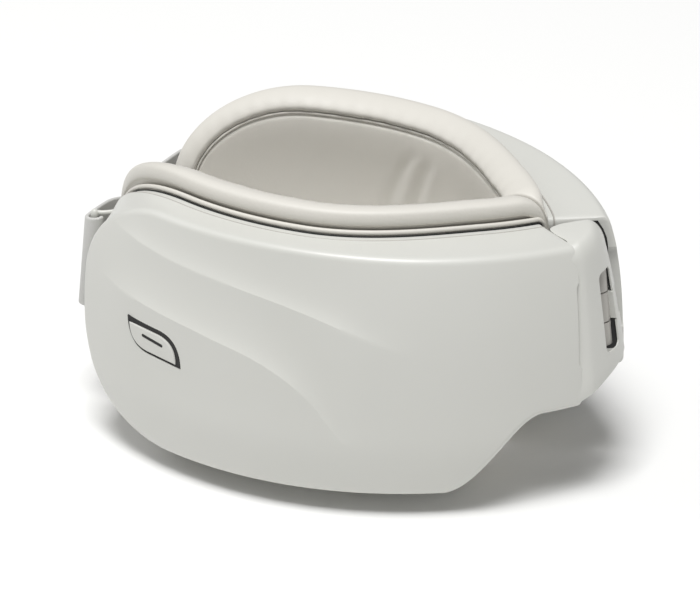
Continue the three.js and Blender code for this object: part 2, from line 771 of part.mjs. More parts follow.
function panelCap(top, bottom, inset) {
  const front = Array.from({ length: 13 }, (_, i) => panelPoint(i / 12, (top + bottom) / 2, inset));
  const behind = [[-2.8, 2.7], [-5.3, 1.3], [-6.4, -1.4], [-4.6, -4.4]];
  const shape = new THREE.Shape([...front, ...behind.map(([x, y]) => new THREE.Vector2(x, y))]);
  const block = new THREE.ExtrudeGeometry(shape, { depth: top - bottom, bevelEnabled: false });
  return inHinge(block.translate(0, 0, bottom));
}

// The panel's foot rises towards the far half
const panelFoot = (lift) => (share) => panelBottom + lift + panelFootRise * (1 - (1 - share) ** 1.8);

function bridgePanel() {
  const levels = [
    [panelTop, 2.4],
    [panelTop - 0.2, 1.5],
    [panelTop - 0.9, 0.7],
    [panelTop - 2.4, 0.15],
    [panelTop - 4.5, 0],
    [slotMiddle, 0],
    [panelFoot(0.9), 0],
    [panelFoot(0), 0.6],
  ];
  const window = inHinge(box(8, slotTo - slotFrom, slotTop - slotBottom, 4, (slotTo + slotFrom) / 2, slotMiddle));
  const armGap = inHinge(box(14, 8, middleTop - middleBottom, 0, slotTo + 3.8, slotMiddle));
  return cut(
    joined(
      panelWallSolid(0, 1, levels, 18),
      panelCap(panelTop, panelTop - 3, 2.3),
      panelCap(panelBottom + panelFootRise + 2.2, panelBottom + panelFootRise + 0.4, 0.8),
    ),
    window,
    armGap,
    bore(barrelRadius + clearance, barrelTop + clearance, barrelBottom - clearance),
    mirrored(cut(behindEndFace(clearance), notchBlock(clearance))),
  );
}

// The far leaf carries the piece of rim that fills the gap its web passes through
function rimSegment() {
  const [top, bottom] = [middleTop - clearance, middleBottom + clearance];
  const rim = panelWallSolid(0.72, 1, [[top, 0], [bottom, 0]], 5);
  const link = inHinge(box(4.4, 1.4, top - bottom, -0.2, 2.6, (top + bottom) / 2));
  const reach = bore(slotReach, top + 1, bottom - 1, 32);
  return common(joined(rim, link), reach);
}

// Every piece that both halves have, built at positive Y
const halfParts = [
  ["rear_frame", rearFrame, "pearl"],
  ["seam_bead", seamBead, "leather"],
  ["cushion_roll", cushionRoll, "leather"],
  ["eye_pad", eyePad, "fabric"],
  ["heating_film", () => windowSlab(1, frameBack, frameBack + filmThickness), "dark"],
  ["air_cell", () => windowSlab(0.6, frameBack + 2 * filmThickness, frameBack + 2.4, 0.6), "rubber"],
  ["inner_tray", innerTray, "inner"],
  ["strap", strap, "webbing"],
  ["vibration_motor", () => seated(disc(5, 3.4), 44, -20), "steel"],
];

for (const [name, build, finish] of halfParts) {
  const geometry = build();
  addPart(`far_${name}`, geometry, finish);
  addPart(`near_${name}`, mirrored(geometry), finish);
}

addPart("far_front_cover", frontCover(), "pearl");
addPart("near_front_cover", mirrored(cut(frontCover(), buttonHole())), "pearl");

addPart("power_button", mirrored(button()), "pearl");
addPart("button_bezel", mirrored(bezel()), "dark");
addPart("button_switch", mirrored(buttonSwitch()), "dark");
addPart("main_circuit_board", mirrored(seated(roundedBlock(30, 14, 1.6, 1), buttonArc, -27)), "board");
addPart("air_pump", mirrored(seated(airPump(), 28, -27)), "dark");
addPart("buzzer", mirrored(seated(disc(3.8, 2.6), 6, -39.5)), "dark");
addPart("battery", seated(roundedBlock(26, 18, 4, 1.5, 0.8), 6, -27), "cell");
addPart("far_circuit_board", seated(roundedBlock(16, 12, 1.6, 1), -24, -27), "board");

addPart("bridge_panel", bridgePanel(), "pearl");
addPart("near_hinge_leaf", mirrored(hingeLeaf(endKnuckles)), "steel");
addPart("far_hinge_leaf", hingeLeaf(middleKnuckle, rimSegment()), "steel");
addPart("hinge_pin", hingePin(), "steel");

// The origin is the middle of the floor that the folded mask stands on
const bounds = new THREE.Box3().setFromObject(mask);
const middle = bounds.getCenter(new THREE.Vector3());
mask.children.forEach((mesh) => mesh.geometry.translate(-middle.x, -middle.y, -bounds.min.z));

export default mask;
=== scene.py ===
"""Foldable eye massager mask, folded shut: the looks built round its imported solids.

Sizes are in millimetres in the hinge frame: X runs towards the hinge, Y across the fold, Z up from
the top of the hinge. One function moves finished points into the row frame, in metres.
"""

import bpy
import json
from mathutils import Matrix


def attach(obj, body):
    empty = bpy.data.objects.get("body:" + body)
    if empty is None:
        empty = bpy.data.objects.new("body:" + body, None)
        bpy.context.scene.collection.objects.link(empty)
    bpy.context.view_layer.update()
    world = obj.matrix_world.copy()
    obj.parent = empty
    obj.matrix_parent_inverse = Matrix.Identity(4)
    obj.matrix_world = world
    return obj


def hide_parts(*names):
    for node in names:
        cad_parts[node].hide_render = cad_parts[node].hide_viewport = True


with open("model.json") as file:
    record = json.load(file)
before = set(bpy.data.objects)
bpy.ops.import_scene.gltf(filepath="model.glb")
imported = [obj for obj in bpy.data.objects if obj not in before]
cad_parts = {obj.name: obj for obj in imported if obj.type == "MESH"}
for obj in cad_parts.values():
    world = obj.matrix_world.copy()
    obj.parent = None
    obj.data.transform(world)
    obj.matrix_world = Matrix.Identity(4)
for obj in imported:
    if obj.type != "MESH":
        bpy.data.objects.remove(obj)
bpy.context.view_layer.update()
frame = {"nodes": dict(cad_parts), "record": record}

import json
import logging
import math
from dataclasses import dataclass, field
from enum import Enum
from typing import Callable, ClassVar

import bpy
import numpy as np
from mathutils import Matrix, Vector

log = logging.getLogger("eye_mask")

# The hinge frame's zero in the row frame
HINGE_TO_ROW = np.array([45.366, 0.0, 56.5])

# The wrap: a half is drawn unrolled, and its arcs lie on an upright cylinder
WRAP_RADIUS = 70.3
HALF_DEPTH = 38.8
HALF_HEIGHT = 51.8
HINGE_END = (5.36, 7.58)
HINGE_ANGLE = math.acos(1 - (HALF_DEPTH - HINGE_END[1]) / WRAP_RADIUS)
HINGE_ARC = HINGE_ANGLE * WRAP_RADIUS
WRAP_CENTRE = (HINGE_END[0] - WRAP_RADIUS * math.sin(HINGE_ANGLE), HALF_DEPTH - WRAP_RADIUS)

# A half's layers, from the parting line in to the cushion's seat
CLEARANCE = 0.3
PARTING_DEPTH = 6.1
FRAME_PLATE = 2.3
PARTING_RADIUS = WRAP_RADIUS - PARTING_DEPTH
FRAME_FRONT = PARTING_RADIUS - CLEARANCE
FRAME_BACK = FRAME_FRONT - FRAME_PLATE
SEAT_RADIUS = FRAME_BACK - CLEARANCE

# How far the back dips towards the hinge, and over which arcs
BACK_DIP = 3.9
DIP_ARCS = (12, 54)

# How far the upper edge drops, and from which arc
TOP_DROP = 1.8
DROP_START = -19

# The half's height over the nose, and the arcs over which the lower edge rises to it
NOSE_HEIGHT = 35.3
NOSE_ARCS = (42, 61)

# The front: its crest over the parting line, its bulge at the top, and its draw-in at the foot
CREST_RISE = 11.7
TOP_BULGE = 5.6
BULGE_FADE = 13
FOOT_DRAW_IN = 2.2
FOOT_START = -38

# The frame's lip inside the cover
LIP_START = -50.5
LIP_INSETS = (1.9, 3.1)

# The hinge, the fold and the floor
HINGE_X = 6.0
HINGE_TILT = math.radians(7.1)
FOLD_GAP = 0.4
STANDING_HEIGHT = -56.5


class Side(Enum):
    """The two halves: the near one carries the button, and the far one is its mirror image."""

    NEAR = -1
    FAR = 1

    @property
    def word(self) -> str:
        """The half's name as the solids spell it."""
        return self.name.lower()

    @property
    def body(self) -> str:
        """The moving body that the half belongs to."""
        return f"{self.word}_half"


# Colours and nodes


def linear(hex_colour: str) -> tuple[float, float, float, float]:
    """Turn an sRGB hex colour into linear light.

    Args:
        hex_colour: six hex digits.

    Returns:
        Red, green, blue and an alpha of 1.
    """
    values = [int(hex_colour[k : k + 2], 16) / 255 for k in (0, 2, 4)]
    light = [v / 12.92 if v <= 0.04045 else ((v + 0.055) / 1.055) ** 2.4 for v in values]
    return (*light, 1.0)


def set_sockets(tree: bpy.types.NodeTree, node: bpy.types.Node, values: dict | None = None,
                links: dict | None = None) -> None:
    """Set a node's inputs, and link those that another node feeds.

    Args:
        tree: the material's node tree.
        node: the node to set.
        values: input name or number to its value.
        links: input name or number to the output socket that feeds it.
    """
    for name, value in (values or {}).items():
        node.inputs[name].default_value = value
    for name, output in (links or {}).items():
        tree.links.new(output, node.inputs[name])


def add_node(tree: bpy.types.NodeTree, kind: str, values: dict | None = None, links: dict | None = None,
             **settings: object) -> bpy.types.Node:
    """Add a node with its settings and links.

    Args:
        tree: the material's node tree.
        kind: the node's type name, after the word ShaderNode that all of them start with.
        values: input name or number to its value.
        links: input name or number to the output socket that feeds it.
        **settings: the node's own properties.

    Returns:
        The new node.
    """
    node = tree.nodes.new(f"ShaderNode{kind}")
    for name, value in settings.items():
        setattr(node, name, value)
    set_sockets(tree, node, values, links)
    return node


def per_metre(size_mm: float) -> float:
    """Pattern scale for a feature of that real size, in features to the metre."""
    return 1000.0 / size_mm


@dataclass(frozen=True)
class Surface:
    """What every finish has: a name, two close tones, and its gloss."""

    name: str
    tone: str
    second_tone: str
    roughness: float

    def start(self) -> tuple[bpy.types.Material, bpy.types.NodeTree, bpy.types.Node, bpy.types.Node]:
        """Make the material with its shader and a coordinate node.

        Returns:
            The material, its tree, its shader and its coordinates.
        """
        material = bpy.data.materials.new(self.name)
        material.use_nodes = True
        tree = material.node_tree
        shader = tree.nodes["Principled BSDF"]
        set_sockets(tree, shader, {"Roughness": self.roughness})
        return material, tree, shader, add_node(tree, "TexCoord")

    def tones(self, tree: bpy.types.NodeTree, factor: bpy.types.NodeSocket) -> bpy.types.NodeSocket:
        """Mix the two tones by a factor.

        Args:
            tree: the material's node tree.
            factor: the socket that drives the mix.

        Returns:
            The mixed colour.
        """
        colours = {6: linear(self.tone), 7: linear(self.second_tone)}
        return add_node(tree, "Mix", colours, {0: factor}, data_type="RGBA").outputs[2]


@dataclass(frozen=True)
class PearlAbs(Surface):
    """Injection-moulded ABS under a pearl satin lacquer: a soft, wide highlight and a faint orange peel."""

    peel_mm: float = 0.9
    peel_depth_mm: float = 0.006
    drift_mm: float = 28.0
    coat: float = 0.2

    def build(self) -> bpy.types.Material:
        """Build the lacquer: cloudy tone, slightly uneven gloss, orange-peel bump under a thin coat.

        Returns:
            The material.
        """
        material, tree, shader, coordinates = self.start()
        place = {"Vector": coordinates.outputs["Object"]}
        drift = add_node(tree, "TexNoise", {"Scale": per_metre(self.drift_mm), "Detail": 2.0}, place)
        peel = add_node(tree, "TexNoise", {"Scale": per_metre(self.peel_mm), "Detail": 3.0}, place)
        gloss = add_node(tree, "MapRange",
                         {"To Min": self.roughness - 0.03, "To Max": self.roughness + 0.04},
                         {"Value": drift.outputs["Fac"]})
        bump = add_node(tree, "Bump", {"Distance": self.peel_depth_mm / 1000, "Strength": 0.6},
                        {"Height": peel.outputs["Fac"]})
        set_sockets(tree, shader, {"Coat Weight": self.coat, "Coat Roughness": 0.22, "IOR": 1.5},
                    {"Base Color": self.tones(tree, drift.outputs["Fac"]),
                     "Roughness": gloss.outputs["Result"], "Normal": bump.outputs["Normal"]})
        return material


@dataclass(frozen=True)
class ArtificialLeather(Surface):
    """Polyurethane leather over foam: pebbled grain with fine creases between, and a dull sheen."""

    grain_mm: float = 0.6
    grain_depth_mm: float = 0.03
    cloud_mm: float = 22.0
    sheen: float = 0.15

    def build(self) -> bpy.types.Material:
        """Build the grain: rounded cells from a Voronoi pattern, broken up by finer noise.

        Returns:
            The material.
        """
        material, tree, shader, coordinates = self.start()
        place = {"Vector": coordinates.outputs["Object"]}
        warp = add_node(tree, "TexNoise", {"Scale": per_metre(self.grain_mm * 3), "Detail": 2.0}, place)
        shift = add_node(tree, "VectorMath", {1: (self.grain_mm / 1500,) * 3},
                         {0: warp.outputs["Color"], 2: coordinates.outputs["Object"]},
                         operation="MULTIPLY_ADD")
        cells = add_node(tree, "TexVoronoi", {"Scale": per_metre(self.grain_mm), "Smoothness": 0.35},
                         {"Vector": shift.outputs[0]}, feature="SMOOTH_F1")
        fine = add_node(tree, "TexNoise", {"Scale": per_metre(self.grain_mm / 3), "Detail": 3.0}, place)
        cloud = add_node(tree, "TexNoise", {"Scale": per_metre(self.cloud_mm), "Detail": 3.0}, place)
        height = add_node(tree, "Math", {1: 0.35}, {0: fine.outputs["Fac"], 2: cells.outputs["Distance"]},
                          operation="MULTIPLY_ADD")
        bump = add_node(tree, "Bump", {"Distance": self.grain_depth_mm / 1000, "Strength": 0.55},
                        {"Height": height.outputs[0]}, invert=True)
        set_sockets(tree, shader, {"Sheen Weight": self.sheen, "Sheen Roughness": 0.4},
                    {"Base Color": self.tones(tree, cloud.outputs["Fac"]),
                     "Normal": bump.outputs["Normal"]})
        return material


@dataclass(frozen=True)
class WovenWebbing(Surface):
    """Polyester webbing: ribs across the band, crossed by pairs of warp threads that run along it."""

    rib_mm: float = 0.5
    warp_mm: float = 0.42
    thread_depth_mm: float = 0.05

    def build(self) -> bpy.types.Material:
        """Build the weave on the band's own UV map, which holds millimetres across and along it.

        Returns:
            The material.
        """
        material, tree, shader, coordinates = self.start()
        parts = add_node(tree, "SeparateXYZ", links={"Vector": coordinates.outputs["UV"]})
        waves = {}
        for number, (axis, pitch) in enumerate((("X", self.warp_mm), ("Y", self.rib_mm))):
            turn = add_node(tree, "Math", {1: 2 * math.pi / pitch}, {0: parts.outputs[axis]},
                            operation="MULTIPLY")
            wave = add_node(tree, "Math", links={0: turn.outputs[0]}, operation="SINE")
            waves[number] = wave.outputs[0]
        crossing = add_node(tree, "Math", links=waves, operation="MULTIPLY")
        height = add_node(tree, "MapRange", {"From Min": -1.0}, {"Value": crossing.outputs[0]})
        bump = add_node(tree, "Bump", {"Distance": self.thread_depth_mm / 1000, "Strength": 0.8},
                        {"Height": height.outputs["Result"]})
        set_sockets(tree, shader, {"Sheen Weight": 0.2},
                    {"Base Color": self.tones(tree, height.outputs["Result"]),
                     "Normal": bump.outputs["Normal"]})
        return material


@dataclass(frozen=True)
class PlatedSteel(Surface):
    """Turned steel under satin nickel plate: fine scratches along the part, which vary both its gloss and its
    tone.
    """

    scratch_mm: float = 0.15
    stretch: float = 0.08

    def build(self) -> bpy.types.Material:
        """Build the plate: metal whose gloss varies along stretched scratches.

        Returns:
            The material.
        """
        material, tree, shader, coordinates = self.start()
        drawn_out = add_node(tree, "Mapping", {"Scale": (1.0, 1.0, self.stretch)},
                             {"Vector": coordinates.outputs["Object"]})
        scratch = add_node(tree, "TexNoise", {"Scale": per_metre(self.scratch_mm), "Detail": 4.0},
                           {"Vector": drawn_out.outputs[0]})
        gloss = add_node(tree, "MapRange",
                         {"To Min": self.roughness - 0.08, "To Max": self.roughness + 0.1},
                         {"Value": scratch.outputs["Fac"]})
        set_sockets(tree, shader, {"Metallic": 1.0},
                    {"Base Color": self.tones(tree, scratch.outputs["Fac"]),
                     "Roughness": gloss.outputs["Result"]})
        return material


@dataclass(frozen=True)
class MouldedPlastic(Surface):
    """Plain spark-eroded moulding: even colour with a fine matt texture.

    The real texture is nearer 0.05 mm, and is drawn coarser so that it shows.
    """

    texture_mm: float = 0.35
    texture_depth_mm: float = 0.02
    metallic: float = 0.0

    def build(self) -> bpy.types.Material:
        """Build the moulding: fine noise in the bump and a trace of it in the tone.

        Returns:
            The material.
        """
        material, tree, shader, coordinates = self.start()
        texture = add_node(tree, "TexNoise", {"Scale": per_metre(self.texture_mm), "Detail": 3.0},
                           {"Vector": coordinates.outputs["Object"]})
        bump = add_node(tree, "Bump", {"Distance": self.texture_depth_mm / 1000, "Strength": 0.5},
                        {"Height": texture.outputs["Fac"]})
        set_sockets(tree, shader, {"Metallic": self.metallic},
                    {"Base Color": self.tones(tree, texture.outputs["Fac"]),
                     "Normal": bump.outputs["Normal"]})
        return material


# The lacquer glows softly on the covers, the leather and foam stay dull, and only the pin and the cell look
# like metal. Both hinge leaves' near-black tone is painted shade, which keeps the slot deep.
FINISHES: dict[str, Surface] = {
    "pearl": PearlAbs("pearl_lacquered_abs", "D2D2CD", "CECEC8", 0.42),
    "leather": ArtificialLeather("polyurethane_leather", "D8D5CE", "D4D1C9", 0.5),
    # The lining is the roll's leather made paler: painted light for the light that the hollow between the
    # halves keeps from it.
    "lining": ArtificialLeather("polyurethane_leather_lining", "FAF7F0", "F6F3EB", 0.55, grain_depth_mm=0.02),
    "pad_fabric": MouldedPlastic("moulded_foam", "D6D2C9", "D2CEC4", 0.8),
    "webbing": WovenWebbing("polyester_elastic", "CBCBC8", "BDBCB9", 0.75),
    # Acetal grey on the knuckle sleeves; the same grey paints the shade of the parting line between cover and
    # frame.
    "hinge": MouldedPlastic("acetal_hinge_moulding", "B9B6B0", "B1AEA8", 0.3),
    "hinge_leaf": MouldedPlastic("acetal_leaf_moulding", "55534F", "4D4B48", 0.6),
    "steel": PlatedSteel("satin_nickel_plated_steel", "C9C5BE", "B2AEA7", 0.34),
    # Black ABS on the bezel and the mark; the same black paints shade behind the slot, on the far end face
    # and under the piping.
    "dark": MouldedPlastic("black_abs_and_painted_shade", "0F0E0E", "141313", 0.62),
    "inner": MouldedPlastic("moulded_abs_natural", "C9C6C0", "C2BFB8", 0.55),
    "rubber": MouldedPlastic("welded_polyurethane_film", "D8D4CD", "CDC9C1", 0.4),
    "board": MouldedPlastic("solder_mask_on_glass_epoxy", "1F5A3A", "1A4D31", 0.45),
    "cell": MouldedPlastic("aluminium_laminate_pouch", "A9ADB2", "9A9EA4", 0.35, metallic=0.8),
}
MATERIALS = {name: finish.build() for name, finish in FINISHES.items()}


# Meshes from arrays


@dataclass
class Mesh:
    """Points in the hinge frame and faces of four or three corners, as arrays, with any flat caps."""

    points: np.ndarray
    quads: np.ndarray
    triangles: np.ndarray = field(default_factory=lambda: np.zeros((0, 3), int))
    caps: tuple[np.ndarray, ...] = ()
    uv: np.ndarray | None = None

    def volume(self) -> float:
        """Signed volume: the sum of the tetrahedra from the origin to each triangle.

        Returns:
            The volume, negative where the faces point inwards.
        """
        fans = [np.stack([0 * cap[2:] + cap[0], cap[1:-1], cap[2:]], axis=1) for cap in self.caps]
        halves = [self.quads[:, [0, 1, 2]], self.quads[:, [0, 2, 3]], self.triangles, *fans]
        corners = self.points[np.concatenate(halves)]
        return float(np.einsum("ij,ij->i", corners[:, 0], np.cross(corners[:, 1], corners[:, 2])).sum() / 6)

    def outward(self) -> "Mesh":
        """Turn all faces round if the volume is negative.

        Returns:
            This mesh.
        """
        if self.volume() < 0:
            self.quads = self.quads[:, ::-1]
            self.triangles = self.triangles[:, ::-1]
            self.caps = tuple(cap[::-1] for cap in self.caps)
        return self


def loop_quads(first: np.ndarray, second: np.ndarray) -> np.ndarray:
    """Quads between two closed loops of point numbers of equal length."""
    return np.stack([first, np.roll(first, -1), np.roll(second, -1), second], axis=1)


def grid_quads(numbers: np.ndarray) -> np.ndarray:
    """Quads over a grid of point numbers."""
    corners = [numbers[:-1, :-1], numbers[1:, :-1], numbers[1:, 1:], numbers[:-1, 1:]]
    return np.stack([c.ravel() for c in corners], axis=1)


def rim_numbers(columns: int, rows: int) -> np.ndarray:
    """Point numbers round the edge of a grid, clockwise from its first corner.

    Args:
        columns: how many points the grid has along it.
        rows: how many points it has down it.

    Returns:
        The numbers, each once.
    """
    numbers = np.arange(columns * rows).reshape(columns, rows)
    return np.concatenate([numbers[:, 0], numbers[-1, 1:-1], numbers[::-1, -1], numbers[0, -2:0:-1]])


def layered_mesh(front: np.ndarray, rims: list[np.ndarray], back: np.ndarray) -> Mesh:
    """Close a front grid and a back grid with the rims between them.

    Args:
        front: points of the front, as columns by rows by 3.
        rims: loops of points, from the front's edge to the back's.
        back: points of the back, laid out as the front.

    Returns:
        The closed mesh.
    """
    columns, rows = front.shape[:2]
    size, rim = columns * rows, rim_numbers(columns, rows)
    numbers = np.arange(size).reshape(columns, rows)
    loops = [rim] + [2 * size + k * len(rim) + np.arange(len(rim)) for k in range(len(rims))] + [rim + size]
    strips = [loop_quads(b, a) for a, b in zip(loops[:-1], loops[1:])]
    quads = np.concatenate([grid_quads(numbers), *strips, grid_quads(numbers + size)[:, ::-1]])
    points = np.concatenate([front.reshape(-1, 3), back.reshape(-1, 3), *rims])
    return Mesh(points, quads).outward()


def ring_mesh(rims: np.ndarray) -> Mesh:
    """A closed ring whose section runs through rims.

    Args:
        rims: section points by loop points by 3.

    Returns:
        The closed mesh.
    """
    sections, count = rims.shape[:2]
    numbers = np.arange(sections * count).reshape(sections, count)
    quads = np.concatenate([loop_quads(numbers[k], numbers[(k + 1) % sections]) for k in range(sections)])
    return Mesh(rims.reshape(-1, 3), quads).outward()


def capped_tube(rings: np.ndarray) -> Mesh:
    """A tube through rings of points, closed by a fan at each end.

    Args:
        rings: rings by points by 3.

    Returns:
        The closed mesh.
    """
    count, sides = rings.shape[:2]
    numbers = np.arange(count * sides).reshape(count, sides)
    quads = np.concatenate([loop_quads(numbers[k], numbers[k + 1]) for k in range(count - 1)])
    ends = [numbers[0], numbers[-1]]
    points = np.concatenate([rings.reshape(-1, 3), [rings[0].mean(0)], [rings[-1].mean(0)]])
    fans = [np.stack([np.roll(ends[0], -1), ends[0], np.full(sides, count * sides)], axis=1),
            np.stack([ends[1], np.roll(ends[1], -1), np.full(sides, count * sides + 1)], axis=1)]
    return Mesh(points, quads, np.concatenate(fans)).outward()


def placed_mesh(name: str, mesh: Mesh, side: Side) -> bpy.types.Mesh:
    """Move a mesh from the hinge frame into the row frame, in metres.

    Args:
        name: its name.
        mesh: its points and faces, at positive Y for a piece of a half.
        side: the near side mirrors it.

    Returns:
        The mesh as Blender keeps it.
    """
    points = mesh.points * np.array([1.0, float(side.value), 1.0]) + HINGE_TO_ROW
    flip = slice(None, None, -1 if side is Side.NEAR else 1)
    faces = mesh.quads[:, flip].tolist() + mesh.triangles[:, flip].tolist()
    faces += [cap[flip].tolist() for cap in mesh.caps]
    data = bpy.data.meshes.new(name)
    data.from_pydata((points / 1000).tolist(), [], faces)
    return data


def smooth_but_sharp(data: bpy.types.Mesh, sharp: float) -> None:
    """Shade a mesh smooth, and keep edges that bend more than so many degrees sharp."""
    data.shade_smooth()
    data.set_sharp_from_angle(angle=math.radians(sharp))


def make_piece(name: str, mesh: Mesh, finish: str, body: str, side: Side = Side.FAR, sharp: float = 35.0,
               replaces: tuple[str, ...] = ()) -> bpy.types.Object:
    """Put a mesh into the scene as a finished piece that rides on a body.

    Args:
        name: the piece's name.
        mesh: its points and faces, at positive Y for a piece of a half.
        finish: the name of its finish.
        body: the body that it moves with.
        side: the near side mirrors the mesh.
        sharp: edges that bend more than this many degrees stay sharp.
        replaces: the solids that it stands for.

    Returns:
        The new object.
    """
    data = placed_mesh(name, mesh, side)
    if mesh.uv is not None:
        layer = data.uv_layers.new(name="UVMap")
        corner = np.zeros(len(data.loops), int)
        data.loops.foreach_get("vertex_index", corner)
        layer.data.foreach_set("uv", mesh.uv[corner].astype(np.float32).ravel())
    smooth_but_sharp(data, sharp)
    piece = bpy.data.objects.new(name, data)
    bpy.context.scene.collection.objects.link(piece)
    data.materials.append(MATERIALS[finish])
    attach(piece, body)
    if replaces:
        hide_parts(*replaces)
    log.info("%s: %d faces, on %s", name, len(data.polygons), body)
    return piece


def cut_away(piece: bpy.types.Object, tools: list[Mesh], side: Side, sharp: float) -> None:
    """Cut tools out of a piece, and keep the outcome as its mesh.

    Args:
        piece: the piece to change.
        tools: closed meshes at positive Y.
        side: the near side mirrors the tools.
        sharp: edges that bend more than this many degrees stay sharp.
    """
    cutters = []
    for number, tool in enumerate(tools):
        data = placed_mesh(f"{piece.name}_tool_{number}", tool, side)
        cutter = bpy.data.objects.new(data.name, data)
        bpy.context.scene.collection.objects.link(cutter)
        modifier = piece.modifiers.new(data.name, "BOOLEAN")
        modifier.operation = "DIFFERENCE"
        modifier.solver = "EXACT"
        modifier.object = cutter
        cutters.append(cutter)
    bpy.context.view_layer.update()
    graph = bpy.context.evaluated_depsgraph_get()
    cut = bpy.data.meshes.new_from_object(piece.evaluated_get(graph))
    piece.modifiers.clear()
    piece.data = cut
    for cutter in cutters:
        bpy.data.objects.remove(cutter)
    smooth_but_sharp(cut, sharp)


# The wrap: how a half is laid out


def smoothstep(low: float, high: float, value: np.ndarray) -> np.ndarray:
    """Rise from 0 at low to 1 at high along 3t squared minus 2t cubed."""
    share = np.clip((value - low) / (high - low), 0, 1)
    return share * share * (3 - 2 * share)


def quarter(share: np.ndarray) -> np.ndarray:
    """A quarter circle: 0 at share 0, with a level start, and 1 at share 1, with an upright end."""
    return 1 - np.sqrt(1 - np.clip(share, 0, 1) ** 2)


def kept_above(value: np.ndarray, limit: float, soft: float = 0.5) -> np.ndarray:
    """Keep values above a limit, with a soft shoulder.

    Over limit plus soft they stay as they are. Below it they fall towards the limit by e to the
    distance over soft.

    Args:
        value: the coordinates.
        limit: what they never reach.
        soft: the shoulder's height.

    Returns:
        The changed coordinates.
    """
    fading = soft * np.exp(np.minimum(0, value - limit - soft) / soft)
    return limit + np.where(value > limit + soft, value - limit, fading)


def wrapped(arc: np.ndarray, z: np.ndarray, radius: np.ndarray) -> np.ndarray:
    """Points of the far half from its unrolled form.

    The angle is arc over the wrap radius. X and Y are the wrap's centre plus radius times the sine
    and cosine of the angle.

    Args:
        arc: distance along the half, positive towards the hinge.
        z: height.
        radius: distance from the wrap's centre.

    Returns:
        The points, as the inputs' common shape by 3.
    """
    arc, z, radius = np.broadcast_arrays(arc, z, radius)
    angle = arc / WRAP_RADIUS
    x = WRAP_CENTRE[0] + radius * np.sin(angle)
    y = WRAP_CENTRE[1] + radius * np.cos(angle)
    return np.stack([x, y, z], axis=-1)


def dipped(arc: np.ndarray, z: np.ndarray, radius: np.ndarray) -> np.ndarray:
    """Points of a half's back: wrapped, less a smoothstep dip towards the hinge."""
    return wrapped(arc, z, radius - BACK_DIP * smoothstep(*DIP_ARCS, arc))


def catmull_rom(points: np.ndarray, share: np.ndarray, closed: bool = False) -> np.ndarray:
    """A curve through points, by the uniform Catmull-Rom formula.

    Args:
        points: the points to pass through.
        share: places from 0 at the first point to 1 at the last, or at the first again if closed.
        closed: join the last point to the first.

    Returns:
        One point for each share. Below 0 and above 1 an open curve runs on straight.
    """
    points = np.asarray(points, float)
    count = len(points)
    spans = count if closed else count - 1
    place = np.clip(share, 0, 1) * spans
    k = np.minimum(place.astype(int), spans - 1)
    t = (place - k)[..., None]
    number = (lambda n: (k + n) % count) if closed else (lambda n: np.clip(k + n, 0, count - 1))
    a, b, c, d = (points[number(n)] for n in (-1, 0, 1, 2))
    rise, fall = (c - a) / 2, (d - b) / 2
    curve = (2 * b - 2 * c + rise + fall) * t**3 + (3 * c - 3 * b - 2 * rise - fall) * t**2 + rise * t + b
    if closed:
        return curve
    before, after = np.minimum(share, 0)[..., None], np.maximum(share - 1, 0)[..., None]
    return curve + spans * (before * (points[1] - points[0]) + after * (points[-1] - points[-2]))


@dataclass(frozen=True)
class EndCorners:
    """Where the outer end's two elliptical corners start, and how tall they are."""

    upper_arc: float
    upper_height: float
    lower_arc: float
    lower_height: float


@dataclass(frozen=True)
class Outline:
    """The edge of a half in unrolled form, drawn in by inset.

    The hinge end is drawn in by end_share of the inset, and its corners have the end radius.
    """

    inset: float
    start: float = -55.0
    corners: EndCorners = EndCorners(-20, 23, -22, 25)
    end_radius: float | None = None
    end_share: float = 1.0

    @property
    def span(self) -> tuple[float, float]:
        """The arcs of its two ends."""
        return self.start + self.inset, HINGE_ARC - self.inset * self.end_share

    def end_round(self, arc: np.ndarray) -> np.ndarray:
        """How far the hinge end's corners turn in at each arc."""
        radius = 1.5 - self.inset if self.end_radius is None else self.end_radius
        return radius * quarter((arc - self.span[1] + radius) / radius) if radius > 0 else 0 * arc

    def upper(self, arc: np.ndarray) -> np.ndarray:
        """Upper edge: a low arch that drops with the square of arc, and an elliptical outer corner.

        Args:
            arc: distance along the half.

        Returns:
            The edge's height at each arc.
        """
        c = self.corners
        corner = (c.upper_height - self.inset) * quarter((c.upper_arc - arc) / (c.upper_arc - self.span[0]))
        drop = TOP_DROP * (np.maximum(0, arc - DROP_START) / (HINGE_ARC - DROP_START)) ** 2
        return -self.inset - corner - drop - self.end_round(arc)

    def lower(self, arc: np.ndarray) -> np.ndarray:
        """Lower edge: level, with an elliptical outer corner and a smoothstep arch over the nose.

        Args:
            arc: distance along the half.

        Returns:
            The edge's height at each arc.
        """
        c = self.corners
        corner = (c.lower_height - self.inset) * quarter((c.lower_arc - arc) / (c.lower_arc - self.span[0]))
        first, last = (end - 0.8 * self.inset for end in NOSE_ARCS)
        arch = (HALF_HEIGHT - NOSE_HEIGHT) * smoothstep(first, last, arc)
        return self.inset - HALF_HEIGHT + corner + arch + self.end_round(arc)

    def grid(self, columns: int,
             shares: Callable[[np.ndarray, "Outline"], np.ndarray]) -> tuple[np.ndarray, np.ndarray]:
        """Arc and height of a grid of points, with columns gathered towards both ends.

        Args:
            columns: how many columns of cells.
            shares: gives each column's row shares, from 0 at the upper edge to 1 at the lower.

        Returns:
            Two arrays of columns plus 1 by rows plus 1.
        """
        even = np.linspace(0, 1, columns + 1)
        gathered = 0.5 - 0.5 * np.cos(np.pi * even)
        arc = self.span[0] + (self.span[1] - self.span[0]) * (0.4 * even + 0.6 * gathered)
        rows = shares(arc, self)
        upper, lower = self.upper(arc)[:, None], self.lower(arc)[:, None]
        return np.broadcast_to(arc[:, None], rows.shape), upper + (lower - upper) * rows


